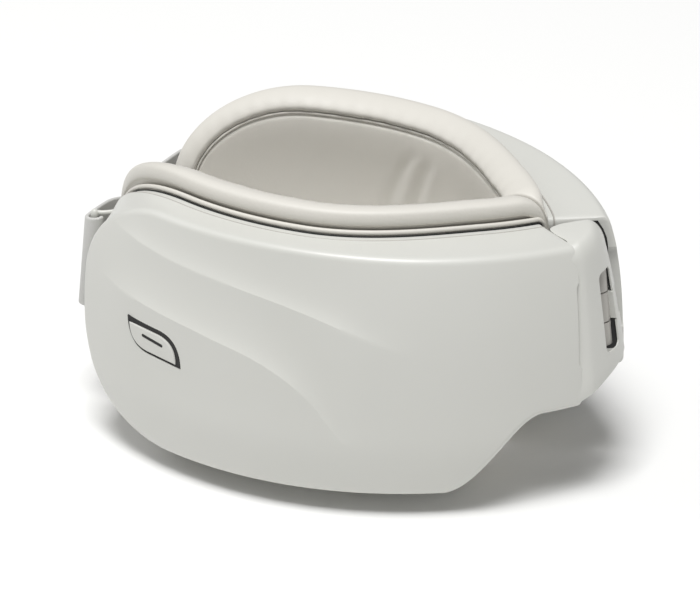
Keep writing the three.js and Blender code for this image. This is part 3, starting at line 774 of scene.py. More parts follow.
def even_shares(rows: int) -> Callable[[np.ndarray, Outline], np.ndarray]:
    """Rows at equal distances."""
    return lambda arc, outline: np.broadcast_to(np.linspace(0, 1, rows + 1), (len(arc), rows + 1))


def rim_of(grid: tuple[np.ndarray, np.ndarray]) -> tuple[np.ndarray, np.ndarray]:
    """Arc and height round the edge of a grid."""
    rim = rim_numbers(*grid[0].shape)
    return grid[0].reshape(-1)[rim], grid[1].reshape(-1)[rim]


FRONT_START = -41.5
FRONT_CORNERS = EndCorners(-19, 20, -16, 25)


def front_outline(inset: float, end_share: float = 1.0) -> Outline:
    """The edge of the cover's front face, which ends short of the parting line."""
    return Outline(inset, start=FRONT_START, corners=FRONT_CORNERS, end_radius=0.6, end_share=end_share)


@dataclass(frozen=True)
class Wave:
    """One sculpted wave: a scoop that ends below in a crisp crease.

    The crease runs through heights at arcs. The scoop sinks in over the rise's arcs and fades over the
    fall's. It is step deep at most, and nearly so at three times its reach above the crease.
    """

    arcs: tuple[float, ...]
    heights: tuple[float, ...]
    rise: tuple[float, float]
    fall: tuple[float, float]
    step: float
    reach: float

    def crease(self, arc: np.ndarray) -> np.ndarray:
        """Height of the crease: a cubic Hermite curve whose slopes are the means of its spans' slopes.

        Args:
            arc: distance along the half.

        Returns:
            The crease's height at each arc.
        """
        x, y = np.array(self.arcs), np.array(self.heights)
        slope = np.diff(y) / np.diff(x)
        tangent = np.concatenate([[slope[0]], (slope[:-1] + slope[1:]) / 2, [slope[-1]]])
        k = np.clip(np.searchsorted(x, arc) - 1, 0, len(x) - 2)
        width = x[k + 1] - x[k]
        t = np.clip((arc - x[k]) / width, 0, 1)
        return ((2 * t**3 - 3 * t**2 + 1) * y[k] + (t**3 - 2 * t**2 + t) * width * tangent[k]
                + (3 * t**2 - 2 * t**3) * y[k + 1] + (t**3 - t**2) * width * tangent[k + 1])

    def drop(self, arc: np.ndarray, z: np.ndarray) -> np.ndarray:
        """Depth of the scoop: step times 1 minus e to the minus height above the crease over reach.

        Args:
            arc: distance along the half.
            z: height.

        Returns:
            How far the front lies below its unsculpted form.
        """
        strength = smoothstep(*self.rise, arc) * (1 - smoothstep(*self.fall, arc))
        above = np.maximum(0, z - self.crease(arc))
        return self.step * strength * (1 - np.exp(-above / self.reach))


WAVES = (
    Wave(arcs=(-34, -17, 2, 18, 36, 69), heights=(-5, -7.4, -9.7, -13.2, -19.5, -21),
         rise=(-36, -22), fall=(20, 38), step=1.9, reach=3.3),
    Wave(arcs=(-34, -18, -4, 8, 16, 24, 69), heights=(-17, -18.5, -20.6, -24.2, -30, -40, -30),
         rise=(-36, -20), fall=(8, 27), step=2.3, reach=3.9),
)


def front_radius(arc: np.ndarray, z: np.ndarray) -> np.ndarray:
    """Radius of the cover's front.

    It bulges out to the crest's radius, by e to the height over the bulge's fade, less each wave's
    scoop and a square draw-in towards the lower edge.

    Args:
        arc: distance along the half.
        z: height.

    Returns:
        The distance from the wrap's centre.
    """
    steps = sum(wave.drop(arc, z) for wave in WAVES)
    steps_at_top = sum(wave.drop(arc, np.zeros_like(z)) for wave in WAVES)
    scoop = (TOP_BULGE - steps_at_top) * np.exp(np.minimum(0, z) / BULGE_FADE)
    draw_in = FOOT_DRAW_IN * (np.maximum(0, FOOT_START - z) / (HALF_HEIGHT + FOOT_START)) ** 2
    return PARTING_RADIUS + CREST_RISE - steps - scoop - draw_in


@dataclass
class FrontCover:
    """A half's front cover: a moulded shell with sculpted waves, rounded edges and an end wall."""

    side: Side
    columns: int = 260
    rows: tuple[int, int, int] = (34, 36, 56)
    edge: float = 1.2
    end_share: float = 0.3
    wall: float = 1.6
    notch_span: tuple[float, float] = (-26.9, -8.6)
    notch_radii: tuple[float, float] = (69.9, 82.0)
    notch_rounding: tuple[tuple[float, float], ...] = ((0.0, 0.0), (0.4, 0.55), (1.0, 0.85), (1.7, 0.95))

    def shares(self, arc: np.ndarray, outline: Outline) -> np.ndarray:
        """Rows that follow both creases, so that each crease is a line of points.

        Args:
            arc: distance along the half, one for each column.
            outline: the edge that the rows run between.

        Returns:
            Columns by rows, from 0 at the upper edge to 1 at the lower.
        """
        upper, lower = outline.upper(arc), outline.lower(arc)
        first = np.clip((upper - WAVES[0].crease(arc)) / (upper - lower), 0.1, 0.4)
        second = np.clip((upper - WAVES[1].crease(arc)) / (upper - lower), first + 0.12, 0.8)
        stops = np.stack([0 * first, first, second, 0 * first + 1], axis=1)
        pieces = [stops[:, k : k + 1] + (stops[:, k + 1 : k + 2] - stops[:, k : k + 1])
                  * np.linspace(0, 1, count, endpoint=False) for k, count in enumerate(self.rows)]
        return np.concatenate([*pieces, stops[:, 3:]], axis=1)

    def layer(self, outline: Outline) -> tuple[np.ndarray, np.ndarray]:
        """The grid of one layer of the shell."""
        return outline.grid(self.columns, self.shares)

    def build(self) -> None:
        """Build the shell: front, quarter-round edge, straight end wall, parting face and inside."""
        front = self.layer(front_outline(self.edge, self.end_share))
        rims = []
        for turn in np.linspace(0, np.pi / 2, 7)[1:]:
            arc, z = rim_of(self.layer(front_outline(self.edge * (1 - math.sin(turn)), self.end_share)))
            rims.append(wrapped(arc, z, front_radius(arc, z) - self.edge * (1 - math.cos(turn))))
        crest = rim_of(self.layer(front_outline(0)))
        parting = rim_of(self.layer(Outline(0)))
        top, bottom = wrapped(*crest, front_radius(*crest) - self.edge), dipped(*parting, PARTING_RADIUS)
        rims += [top + (bottom - top) * share for share in np.linspace(0, 1, 9)[1:]]
        rims.append(dipped(*rim_of(self.layer(Outline(self.wall))), PARTING_RADIUS))
        back = self.layer(front_outline(self.wall))
        shell = layered_mesh(wrapped(*front, front_radius(*front)), rims,
                             wrapped(*back, front_radius(*back) - self.wall))
        word = self.side.word
        cover = make_piece(f"{word}_cover_shell", shell, "pearl", self.side.body, self.side,
                           replaces=(f"{word}_front_cover",))
        tools = [self.hinge_notch()]
        if self.side is Side.NEAR:
            tools.append(PowerButton().leaf_prism(0, -4, 4))
        cut_away(cover, tools, self.side, sharp=28)

    def hinge_notch(self) -> Mesh:
        """The shallow recess in the front edge of the hinge end, with rounded upper and lower sides.

        Returns:
            The recess as a closed block.
        """
        low, high = self.notch_span
        steps = [(low + up, deep) for up, deep in self.notch_rounding]
        steps += [(high - down, deep) for down, deep in reversed(self.notch_rounding)]
        radius = np.repeat(self.notch_radii, 2)
        rings = [wrapped(HINGE_ARC + np.array([2.0, -deep, -deep, 2.0]), np.full(4, z), radius)
                 for z, deep in steps]
        return capped_tube(np.stack(rings))


@dataclass
class RearFrame:
    """A half's rear frame: the rim that the cover closes on, its plate, and the strap's arms and bar."""

    side: Side
    columns: int = 200
    rows: int = 60
    soft: float = 0.25
    plate: float = 1.6
    lip_height: float = 1.5
    window_centre: tuple[float, float] = (7.0, -23.0)
    window_half: tuple[float, float] = (37.0, 14.0)
    half_centre: tuple[float, float] = (7.0, -25.0)
    half_size: tuple[float, float] = (57.0, 23.0)
    arm_reach: float = 11.15
    arm_radius: float = 0.45
    bar_radius: float = 0.8

    def edge(self, inset: float, start: float = Outline.start) -> tuple[np.ndarray, np.ndarray]:
        """Arc and height of one loop of the frame's section."""
        return rim_of(Outline(inset, start=start).grid(self.columns, even_shares(self.rows)))

    def build(self) -> None:
        """Build the rim's section, from the seat round the edge and lip and back along the plate."""
        outer_lip, inner_lip = (self.edge(inset, LIP_START) for inset in LIP_INSETS)
        rim, softened = self.edge(0), self.edge(self.soft)
        front, plate_top, lip_top = FRAME_FRONT + 0.1, FRAME_BACK + self.plate, FRAME_FRONT + self.lip_height
        sections = [(softened, FRAME_BACK), (rim, FRAME_BACK + self.soft), (rim, FRAME_FRONT - self.soft / 2),
                    (softened, front), (outer_lip, front), (outer_lip, lip_top), (inner_lip, lip_top),
                    (inner_lip, plate_top)]
        window = self.window_rim(*inner_lip)
        inward = [tuple(a + (b - a) * share for a, b in zip(inner_lip, window))
                  for share in np.linspace(0, 1, 6)[1:]]
        sections += [(loop, plate_top) for loop in inward] + [(loop, FRAME_BACK) for loop in reversed(inward)]
        ring = ring_mesh(np.stack([dipped(*loop, radius) for loop, radius in sections]))
        word = self.side.word
        make_piece(f"{word}_frame_rim", ring, "pearl", self.side.body, self.side,
                   replaces=(f"{word}_rear_frame",))
        self.build_bar()

    def build_bar(self) -> None:
        """Build the strap's bar, and the two arms that hold it."""
        ends = []
        for name, way in (("upper", 1), ("lower", -1)):
            z = StrapLoop.middle + way * self.arm_reach
            tip = np.array([StrapLoop.bar_x_at(z), StrapLoop.bar_y, z])
            root = wrapped(np.array(LIP_START), np.array(z), np.array(FRAME_FRONT - 0.2))
            middle = root + (tip - root) * np.array([0.55, 0.7, 0.5])
            path = np.stack([root, middle, tip - (tip - root) * 0.12, tip])
            make_piece(f"{self.side.word}_strap_arm_{name}", round_rod(path, self.arm_radius), "pearl",
                       self.side.body, self.side)
            ends.append(tip)
        make_piece(f"{self.side.word}_strap_bar", round_rod(np.stack(ends), self.bar_radius), "pearl",
                   self.side.body, self.side)

    def window_rim(self, arc: np.ndarray, z: np.ndarray) -> tuple[np.ndarray, np.ndarray]:
        """The eye window's edge, point for point beside the lip: a curve of the fourth power.

        Args:
            arc: the lip's arcs.
            z: the lip's heights.

        Returns:
            The window's arcs and heights, on the same rays from the middle.
        """
        angle = np.arctan2((z - self.half_centre[1]) / self.half_size[1],
                           (arc - self.half_centre[0]) / self.half_size[0])
        cos, sin = np.cos(angle), np.sin(angle)
        scale = (np.abs(cos) ** 4 + np.abs(sin) ** 4) ** -0.25
        return (self.window_centre[0] + self.window_half[0] * scale * cos,
                self.window_centre[1] + self.window_half[1] * scale * sin)


def round_rod(path: np.ndarray, radius: float, sides: int = 24, steps: int = 24) -> Mesh:
    """A round rod along a smooth path, with domed ends.

    Args:
        path: points that the rod's middle passes through.
        radius: the rod's radius.
        sides: points round it.
        steps: rings along it.

    Returns:
        The closed rod. Each ring lies across the path, turned from the X axis.
    """
    place = catmull_rom(path, np.linspace(0, 1, steps))
    along = np.gradient(place, axis=0)
    along /= np.linalg.norm(along, axis=1)[:, None]
    across = np.cross(along, [0.35, 1.0, 0.2])
    across /= np.linalg.norm(across, axis=1)[:, None]
    other = np.cross(along, across)
    turn = np.linspace(0, 2 * np.pi, sides, endpoint=False)
    circle = across[:, None] * np.cos(turn)[:, None] + other[:, None] * np.sin(turn)[:, None]
    rings = list(place[:, None] + circle * radius)
    for end, way in ((0, -1), (-1, 1)):
        dome = [place[end] + circle[end] * radius * math.cos(a) + way * along[end] * radius * math.sin(a)
                for a in (0.5, 1.0, 1.4)]
        rings = dome[::-1] + rings if end == 0 else rings + dome
    return capped_tube(np.stack(rings))


@dataclass
class StrapLoop:
    """The elastic strap: looped round its bar, turned back past the roll and tucked into the fold."""

    side: Side
    width: float = 21.0
    thickness: float = 0.9
    folded_sides: tuple[float, float] = (1.9, 3.4)
    tucked_drop: float = 5.0
    middle: ClassVar[float] = -23.4
    bar_x: ClassVar[float] = -100.16
    bar_y: ClassVar[float] = 19.03
    lean: ClassVar[float] = math.tan(math.radians(7))

    @classmethod
    def bar_x_at(cls, z: float) -> float:
        """The slanting bar's X at a height."""
        return cls.bar_x + cls.lean * (z - cls.middle)

    def route(self) -> np.ndarray:
        """The strap's route in plan: round the bar, then to and fro in the hollow between the halves.

        Returns:
            Rows of X, Y and the share of the bar's lean that the band still has.
        """
        steps = 11
        turn = np.radians(-120 + 30 * np.arange(steps))
        radius = RearFrame.bar_radius + CLEARANCE + self.thickness / 2
        coil = np.column_stack([self.bar_x + radius * np.cos(turn), self.bar_y + radius * np.sin(turn),
                                np.ones(steps)])
        low, high = self.folded_sides
        tail = np.array([(-0.1, self.bar_y - 5, 1), (0, self.bar_y - 10, 0.9), (1.6, self.bar_y - 14.2, 0.7),
                         (5.6, high, 0.5), (12, high, 0.3), (27, high, 0), (64, high, 0),
                         (68, (low + high) / 2, 0), (64, low, 0), (45, low, 0), (27, low, 0), (16, low, 0)])
        return np.concatenate([coil, tail + np.array([self.bar_x - radius, 0, 0])])

    def smooth_route(self, steps: int) -> np.ndarray:
        """Points on the centripetal Catmull-Rom curve through the route, by the pyramid formula.

        Each level mixes two neighbours by how far the knot lies between theirs. The knots are the sums
        of the square roots of the route's steps.

        Args:
            steps: how many points.

        Returns:
            The points, laid out as the route.
        """
        p = self.route()
        p = np.concatenate([[2 * p[0] - p[1]], p, [2 * p[-1] - p[-2]]])
        share = np.linspace(0, len(p) - 3, steps)
        k = np.minimum(share.astype(int), len(p) - 4)
        knots = np.concatenate([[0], np.cumsum(np.sqrt(np.linalg.norm(np.diff(p, axis=0), axis=1)))])
        t = (knots[k + 1] + (share - k) * (knots[k + 2] - knots[k + 1]))[:, None]
        tk = [knots[k + n][:, None] for n in range(4)]
        level = [p[k + n] for n in range(4)]
        for first, last in (((0, 1, 2), (1, 2, 3)), ((0, 1), (2, 3)), ((1,), (2,))):
            level = [((tk[b] - t) * level[n] + (t - tk[a]) * level[n + 1]) / (tk[b] - tk[a])
                     for n, (a, b) in enumerate(zip(first, last))]
        return level[0]

    def build(self) -> None:
        """Build the band: a flat section with round selvedges, carried along the route."""
        place = self.smooth_route(420)
        along = np.gradient(place[:, :2], axis=0)
        along /= np.linalg.norm(along, axis=1)[:, None]
        side = np.column_stack([-along[:, 1], along[:, 0]])
        half, thin = self.width / 2, self.thickness / 2
        turn = np.linspace(-np.pi / 2, np.pi / 2, 7)
        across = np.concatenate([half - thin + thin * np.cos(turn), -half + thin - thin * np.cos(turn)])
        through = np.concatenate([thin * np.sin(turn), -thin * np.sin(turn)])
        lean_share = np.clip(place[:, 2], 0, 1)[:, None]
        x = place[:, None, 0] + side[:, None, 0] * through + self.lean * lean_share * across
        y = place[:, None, 1] + side[:, None, 1] * through
        z = self.middle - self.tucked_drop * (1 - lean_share) + across + 0 * x
        mesh = capped_tube(np.stack([x, y, z], axis=-1))
        length = np.concatenate([[0], np.cumsum(np.linalg.norm(np.diff(place[:, :2], axis=0), axis=1))])
        uv = np.stack(np.broadcast_arrays(across[None, :], length[:, None]), axis=-1).reshape(-1, 2)
        mesh.uv = np.concatenate([uv, uv[:1], uv[-1:]])
        word = self.side.word
        make_piece(f"{word}_elastic_strap", mesh, "webbing", self.side.body, self.side,
                   replaces=(f"{word}_strap",))


@dataclass
class Cushion:
    """A half's cushion: the padded roll, its welt, the piping below it, and the hollow eye pad.

    The section runs round the roll, as distances outside its seat line and shares of its height. Each fold
    of the pad runs through arcs at heights.
    """

    side: Side
    depth: float = 6.8
    thinning: float = 0.3
    columns: int = 230
    rows: int = 70
    tube_cells: tuple[int, int] = (220, 64)
    pad_cells: tuple[int, int] = (190, 110)
    welt_share: float = 0.9
    pad_share: float = 0.93
    pad_out: float = 0.5
    seat_out: float = -2.4
    hollow: float = 4.0
    hollow_reach: float = 20.0
    fold_width: float = 2.0
    section: ClassVar = ((1.05, -0.78), (1.2, -0.88), (1.65, -0.965), (2.5, -0.98), (3.4, -0.87), (4.2, -0.7),
                         (4.85, -0.48), (5.2, -0.24), (5.05, -0.06), (4.5, 0.05), (3.4, 0.1), (2.3, 0.09),
                         (1.65, 0.0), (0.2, -0.06), (-2.0, -0.02), (-1.6, -0.18), (-0.4, -0.48), (0.6, -0.7))
    folds: ClassVar = (((-4, 9.3), (-10.5, 4.8), (-17.8, 1.2), (-34, -3.0)),
                       ((-6, 14.2), (-12.3, 11.0), (-16.5, 9.2), (-30, 5.5)))

    def outline(self, out: float) -> Outline:
        """The roll's seat line in unrolled form, moved outwards."""
        return Outline(-out, start=-52.0, corners=EndCorners(-21, 17, -24, 22), end_radius=6.0 + out)

    def height(self, arc: np.ndarray) -> np.ndarray:
        """How tall the roll stands on its seat: it gets thinner towards the outer end, by a smoothstep."""
        return self.depth * (1 - self.thinning * (1 - smoothstep(-52, -8, arc)))

    def pressed(self, points: np.ndarray) -> np.ndarray:
        """Flatten what would cross the fold plane or the floor.

        Args:
            points: the points, which are changed in place.

        Returns:
            The same points.
        """
        points[..., 1] = kept_above(points[..., 1], FOLD_GAP - 0.05)
        points[..., 2] = kept_above(points[..., 2], STANDING_HEIGHT - 0.1)
        return points

    def build(self) -> None:
        """Build the padded roll, the four thin tubes round the half, and the pad."""
        word = self.side.word
        self.build_roll()
        self.build_tube(f"{word}_seam_welt", 0.32, lambda out: self.outline(0.86 + out),
                        lambda arc: SEAT_RADIUS - self.welt_share * self.height(arc))
        self.build_tube(f"{word}_piping", 0.5, lambda out: Outline(-0.8 - out),
                        lambda arc: FRAME_BACK + 0.45 + 0 * arc, replaces=(f"{word}_seam_bead",))
        # A thin black tube under the piping: painted shadow of the gap between the piping and the frame.
        self.build_tube(f"{word}_shadow_gap", 0.15, lambda out: Outline(-0.12 - out),
                        lambda arc: FRAME_BACK + 0.95 + 0 * arc, finish="dark")
        # A grey tube in the parting line between frame and cover: painted shade of the narrow gap.
        self.build_tube(f"{word}_parting_seal", 0.16, lambda out: Outline(0.06 - out),
                        lambda arc: FRAME_FRONT + 0.15 + 0 * arc, finish="hinge")
        self.build_pad()

    def build_roll(self) -> None:
        """Build the roll: a stuffed section that bulges over its welt, with faint puckers across it.

        The puckers are two sines along the roll, which grow with the height on the section.
        """
        loops = []
        for out, up in catmull_rom(self.section, np.arange(85) / 85, closed=True):
            arc, z = rim_of(self.outline(out).grid(self.columns, even_shares(self.rows)))
            strength = np.clip(-2 * up, 0, 1)
            pucker = 0.05 * np.sin(arc * 1.3 + z * 0.7) + 0.06 * np.sin(arc * 0.43 + 2.0)
            loops.append(dipped(arc, z, SEAT_RADIUS + up * self.height(arc) + pucker * strength))
        word = self.side.word
        roll = make_piece(f"{word}_padded_roll", ring_mesh(self.pressed(np.stack(loops))), "leather",
                          self.side.body, self.side, sharp=50.0, replaces=(f"{word}_cushion_roll",))

    def build_tube(self, name: str, thickness: float, outline: Callable[[float], Outline],
                   radius: Callable[[np.ndarray], np.ndarray], replaces: tuple[str, ...] = (),
                   finish: str = "leather") -> None:
        """Build a thin round tube round the half.

        Args:
            name: the piece's name.
            thickness: the tube's own radius.
            outline: the outline at a distance outside the tube's middle.
            radius: the wrap's radius at the tube's middle, for each arc.
            replaces: the solids that it stands for.
            finish: the name of its finish.
        """
        columns, rows = self.tube_cells
        loops = []
        for turn in np.linspace(0, 2 * np.pi, 12, endpoint=False):
            arc, z = rim_of(outline(thickness * math.cos(turn)).grid(columns, even_shares(rows)))
            loops.append(dipped(arc, z, radius(arc) + thickness * math.sin(turn)))
        make_piece(name, ring_mesh(self.pressed(np.stack(loops))), finish, self.side.body, self.side,
                   sharp=60.0, replaces=replaces)

    def fold_depth(self, arc: np.ndarray, z: np.ndarray) -> np.ndarray:
        """Depth of the pad's two folds: a bell-shaped groove along each line, with a lower ridge beside it.

        Args:
            arc: distance along the half.
            z: height.

        Returns:
            How far the folds sink the pad, fading out above and below.
        """
        fade = smoothstep(3, 9, -z) * (1 - smoothstep(22, 34, -z))
        depth = 0 * arc
        for line in self.folds:
            heights, arcs = np.array(line).T
            across = (arc - np.interp(-z, -heights, arcs)) / self.fold_width
            depth = depth + fade * (0.4 * np.exp(-(across**2)) - 0.2 * np.exp(-((across - 1.6) ** 2)))
        return depth

    def build_pad(self) -> None:
        """Build the eye pad: level with the welt at its edge, and hollow over the eye.

        Upright is the product of the distances to the edges above and below, over their sum. Along is
        the same for both ends. The distance inwards is their product over their hypotenuse, and the
        hollow is a smoothstep of it, with a quarter-round edge.
        """
        columns, rows = self.pad_cells
        face = self.outline(self.pad_out)
        arc, z = face.grid(columns, even_shares(rows))
        top, bottom = face.upper(arc), face.lower(arc)
        upright = (top - z) * (z - bottom) / (top - bottom)
        along = (arc - face.span[0]) * (face.span[1] - arc) / (face.span[1] - face.span[0])
        inward = upright * along / np.maximum(0.01, np.hypot(upright, along))
        hollow = self.hollow * smoothstep(0, self.hollow_reach, inward) + 0.55 * quarter(1 - inward / 1.1)
        sunk = SEAT_RADIUS - self.pad_share * self.height(arc) + hollow + self.fold_depth(arc, z)
        shape = self.pressed(dipped(arc, z, sunk))
        seat = self.outline(self.seat_out).grid(columns, even_shares(rows))
        pad = layered_mesh(dipped(*seat, SEAT_RADIUS), [], shape)
        word = self.side.word
        # The lining's pale leather is painted light, which brightens the shaded hollow.
        piece = make_piece(f"{word}_eye_lining", pad, "lining", self.side.body, self.side, sharp=60.0,
                           replaces=(f"{word}_eye_pad",))


@dataclass
class PowerButton:
    """The leaf-shaped button, its dark bezel and its inlaid mark, on the near half's front.

    The steps are insets from the leaf and distances out from the front's surface.
    """

    arc: float = -17.0
    z: float = -25.9
    half_length: float = 7.4
    half_height: float = 3.7
    # The cap sits off the bezel's middle, away from the hinge and down, so the black bezel shows wider along
    # the top and the hinge side: the bezel is real, and its wider band there is painted shade of the recess.
    cap_shift: tuple[float, float] = (-0.38, -0.36)
    mark_half: float = 2.6
    mark_radius: float = 0.34
    mark_slant: float = math.radians(-7)
    mark_shift: tuple[float, float] = (-0.2, 0.3)
    cap_steps: ClassVar = ((0.95, -2.3), (0.95, -0.4), (1.0, -0.15), (1.15, -0.03), (1.5, 0.0))
    bezel_steps: ClassVar = ((0.05, -2.4), (0.05, -0.3), (0.12, -0.2), (1.5, -0.35), (1.6, -0.5), (1.6, -2.4))

    def leaf(self, inset: float, count: int = 24) -> np.ndarray:
        """The leaf in plan: two quadratic curves joined by straight runs, with two sharp corners.

        Args:
            inset: how far its edge is drawn in.
            count: points on each curve.

        Returns:
            The loop, along the half and upwards.
        """
        t = np.linspace(0, 1, count)[:, None]
        start, pull, end = np.array(((-1, 1), (-0.98, -0.78), (-0.22, -0.88)))
        curve = (1 - t) ** 2 * start + 2 * t * (1 - t) * pull + t**2 * end
        size = np.array([self.half_length - inset, self.half_height - inset])
        return np.concatenate([curve, -curve]) * size

    def placed(self, plan: np.ndarray, out: float) -> np.ndarray:
        """Put plan points on the plane that touches the front at the button's middle.

        Args:
            plan: points along the half and upwards.
            out: how far the plane is moved outwards.

        Returns:
            The points in the hinge frame.
        """
        angle = self.arc / WRAP_RADIUS
        tangent = np.array([math.cos(angle), -math.sin(angle), 0])
        surface = float(front_radius(np.array(self.arc), np.array(self.z)))
        base = wrapped(np.array(self.arc), np.array(self.z), surface + out)
        return base + plan[:, :1] * tangent + plan[:, 1:2] * np.array([0, 0, 1.0])

    def leaf_prism(self, inset: float, low: float, high: float) -> Mesh:
        """A leaf-shaped block between two distances from the surface."""
        plan = self.leaf(inset)
        return capped_tube(np.stack([self.placed(plan, low), self.placed(plan, high)]))

    def mark(self) -> np.ndarray:
        """The mark in plan: a slim bar with round ends, slightly slanted.

        Returns:
            The loop, along the half and upwards.
        """
        turn = np.linspace(0, 2 * np.pi, 32, endpoint=False)
        cos, sin = np.cos(turn), np.sin(turn)
        ends = self.mark_half * np.sign(cos) * (np.abs(cos) > 1e-9)
        bar = np.column_stack([ends + self.mark_radius * cos, self.mark_radius * sin])
        cos, sin = math.cos(self.mark_slant), math.sin(self.mark_slant)
        return bar @ np.array([(cos, sin), (-sin, cos)]) + self.mark_shift

    def build(self) -> None:
        """Build the button with a rounded edge, the bezel as a ring, and the mark as a slim inlay."""
        cap = [self.placed(self.leaf(inset) + self.cap_shift, out) for inset, out in self.cap_steps]
        make_piece("leaf_button", capped_tube(np.stack(cap)), "pearl", "power_button", Side.NEAR,
                   replaces=("power_button",))
        bezel = [self.placed(self.leaf(inset), out) for inset, out in self.bezel_steps]
        make_piece("button_bezel_ring", ring_mesh(np.stack(bezel)), "dark", "near_half", Side.NEAR,
                   replaces=("button_bezel",))
        mark = capped_tube(np.stack([self.placed(self.mark(), -0.5), self.placed(self.mark(), 0.03)]))
        make_piece("button_mark", mark, "dark", "power_button", Side.NEAR)


def tilted(points: np.ndarray) -> np.ndarray:
    """Turn points drawn round the hinge axis into place.

    The axis leans by the hinge's tilt, so X and Z turn about Y by that angle.

    Args:
        points: points with the axis upright at zero.

    Returns:
        The points in the hinge frame.
    """
    cos, sin = math.cos(HINGE_TILT), math.sin(HINGE_TILT)
    x, y, z = points[..., 0], points[..., 1], points[..., 2]
    return np.stack([HINGE_X + cos * x - sin * z, y, sin * x + cos * z], axis=-1)


@dataclass
class BridgePanel:
    """The curved panel over the hinge, its slot, and the smooth sleeves of the three knuckles.

    Its plan curves are drawn round the hinge axis, from the near end at share 0 to the rim at share 1.
    """

    top: float = -0.6
    top_fall: float = 1.0
    bottom: float = -34.6
    foot_rise: float = 4.8
    inner_drop: float = 3.2
    wall: float = 0.35
    shoulder: tuple[float, float] = (2.4, 4.0)
    slot_sides: tuple[float, float] = (-4.3, 1.1)
    slot_ends: tuple[float, float] = (-26.4, -9.2)
    slot_corner: float = 1.3
    slot_reach: tuple[float, float] = (0.4, 9.0)
    middle_knuckle: tuple[float, float] = (-21.0, -14.6)
    sleeve_radius: float = 1.83
    rim_reach: float = 3.88
    painted_shadow_foot: float = 65.5
    at_top: ClassVar = ((-0.4, -9.2), (1, -7.5), (1.8, -5), (2, -2.4), (1.6, -0.2), (0.8, 1.9), (-0.4, 3.9))
    at_foot: ClassVar = ((-0.3, -11.2), (1.4, -9.2), (2.4, -6.2), (3, -2.8), (3.2, 0.2), (3, 2.8), (2.4, 5))
    behind: ClassVar = ((-2.9, -6.2), (-6.6, -4.0), (-8.4, -2.2), (-7.4, -0.2), (-5.3, 1.3), (-4.0, 2.0),
                        (-2.4, 2.9))
    # Where the black strip of painted shadow on the far end face reaches, as heights and radii.
    painted_shadow_edge: ClassVar = ((-31.5, 74.2), (-25, 73.6), (-18, 72.0), (-14, 71.2), (-9.9, 71.25),
                             (-8.2, 71.15), (-6.4, 70.85), (-4.5, 70.1), (-2.6, 68.9))

    def plan(self, share: np.ndarray, mix: np.ndarray) -> np.ndarray:
        """The panel's line in plan: the top curve, mixed with the foot curve."""
        return catmull_rom(self.at_top, share) * (1 - mix) + catmull_rom(self.at_foot, share) * mix

    def skin(self, share: np.ndarray, z: np.ndarray, offset: np.ndarray) -> np.ndarray:
        """Points of the panel's skin, set inwards from its plan line.

        The plan is a mix of the top and foot curves, by 1 minus the square of the height left.

        Args:
            share: place along the plan line, from 0 at the near end to 1 at the rim.
            z: height along the axis.
            offset: distance inwards.

        Returns:
            The points, drawn round the upright axis.
        """
        share, z, offset = np.broadcast_arrays(share, z, offset)
        offset = offset + 0.45 * (1 - smoothstep(0, 0.2, share)) * smoothstep(3, 9, -z)
        mix = (1 - np.clip((z - self.bottom) / (self.top - self.bottom), 0, 1) ** 2)[..., None]
        along = self.plan(share + 0.01, mix) - self.plan(share - 0.01, mix)
        along /= np.linalg.norm(along, axis=-1)[..., None]
        place = self.plan(share, mix)
        x = place[..., 0] - along[..., 1] * offset
        y = place[..., 1] + along[..., 0] * offset
        return np.stack([x, y, z], axis=-1)

    def profile(self, share: np.ndarray) -> np.ndarray:
        """Closed sections of the panel: top face, elliptical shoulder, wall, rounded foot and inside.

        The foot rises by 1 minus the share left to the power 1.8, and the top falls by its square.

        Args:
            share: places along the plan line, one for each section.

        Returns:
            Sections by points by 3, drawn round the upright axis.
        """
        deep, tall = self.shoulder
        left = 1 - np.clip(share, 0, 1)
        foot = self.bottom + self.foot_rise * (1 - left**1.8)
        top = self.top - self.top_fall * left**2
        wall_top = top - tall
        inner_top = self.top - self.inner_drop
        column = lambda z, offset: self.skin(share, z + 0 * share, offset + 0 * share)
        inner = catmull_rom(self.behind, np.clip(share, 0, 1))
        low_edge, high_edge = (np.column_stack([inner, z + 0 * share]) for z in (inner_top, top))
        lip = column(top, deep)
        points = [low_edge, high_edge, (high_edge + lip) / 2, lip]
        points += [column(top - tall * (1 - math.cos(t)), deep * (1 - math.sin(t)))
                   for t in np.linspace(0, np.pi / 2, 14)[1:]]
        points += [column(wall_top + (foot + 0.8 - wall_top) * s, 0) for s in np.linspace(0, 1, 12)[1:]]
        points += [column(foot + up, offset)
                   for up, offset in ((0.3, 0.12), (0.05, 0.4), (0.0, 0.8), (0.1, self.wall))]
        points += [column(wall_top + (foot + 0.5 - wall_top) * s, self.wall)
                   for s in np.linspace(0.95, 0.1, 9)]
        points += [column(inner_top, deep + 0.8)]
        return np.stack(points, axis=1)

    def shell(self, share: np.ndarray) -> Mesh:
        """The solid between the sections at the first and last share.

        Args:
            share: places along the plan line, one for each section.

        Returns:
            The closed mesh, with a flat cap at each end.
        """
        rings = tilted(self.profile(share))
        count, sides = rings.shape[:2]
        numbers = np.arange(count * sides).reshape(count, sides)
        quads = np.concatenate([loop_quads(numbers[k], numbers[k + 1]) for k in range(count - 1)])
        return Mesh(rings.reshape(-1, 3), quads, caps=(numbers[0][::-1], numbers[-1])).outward()

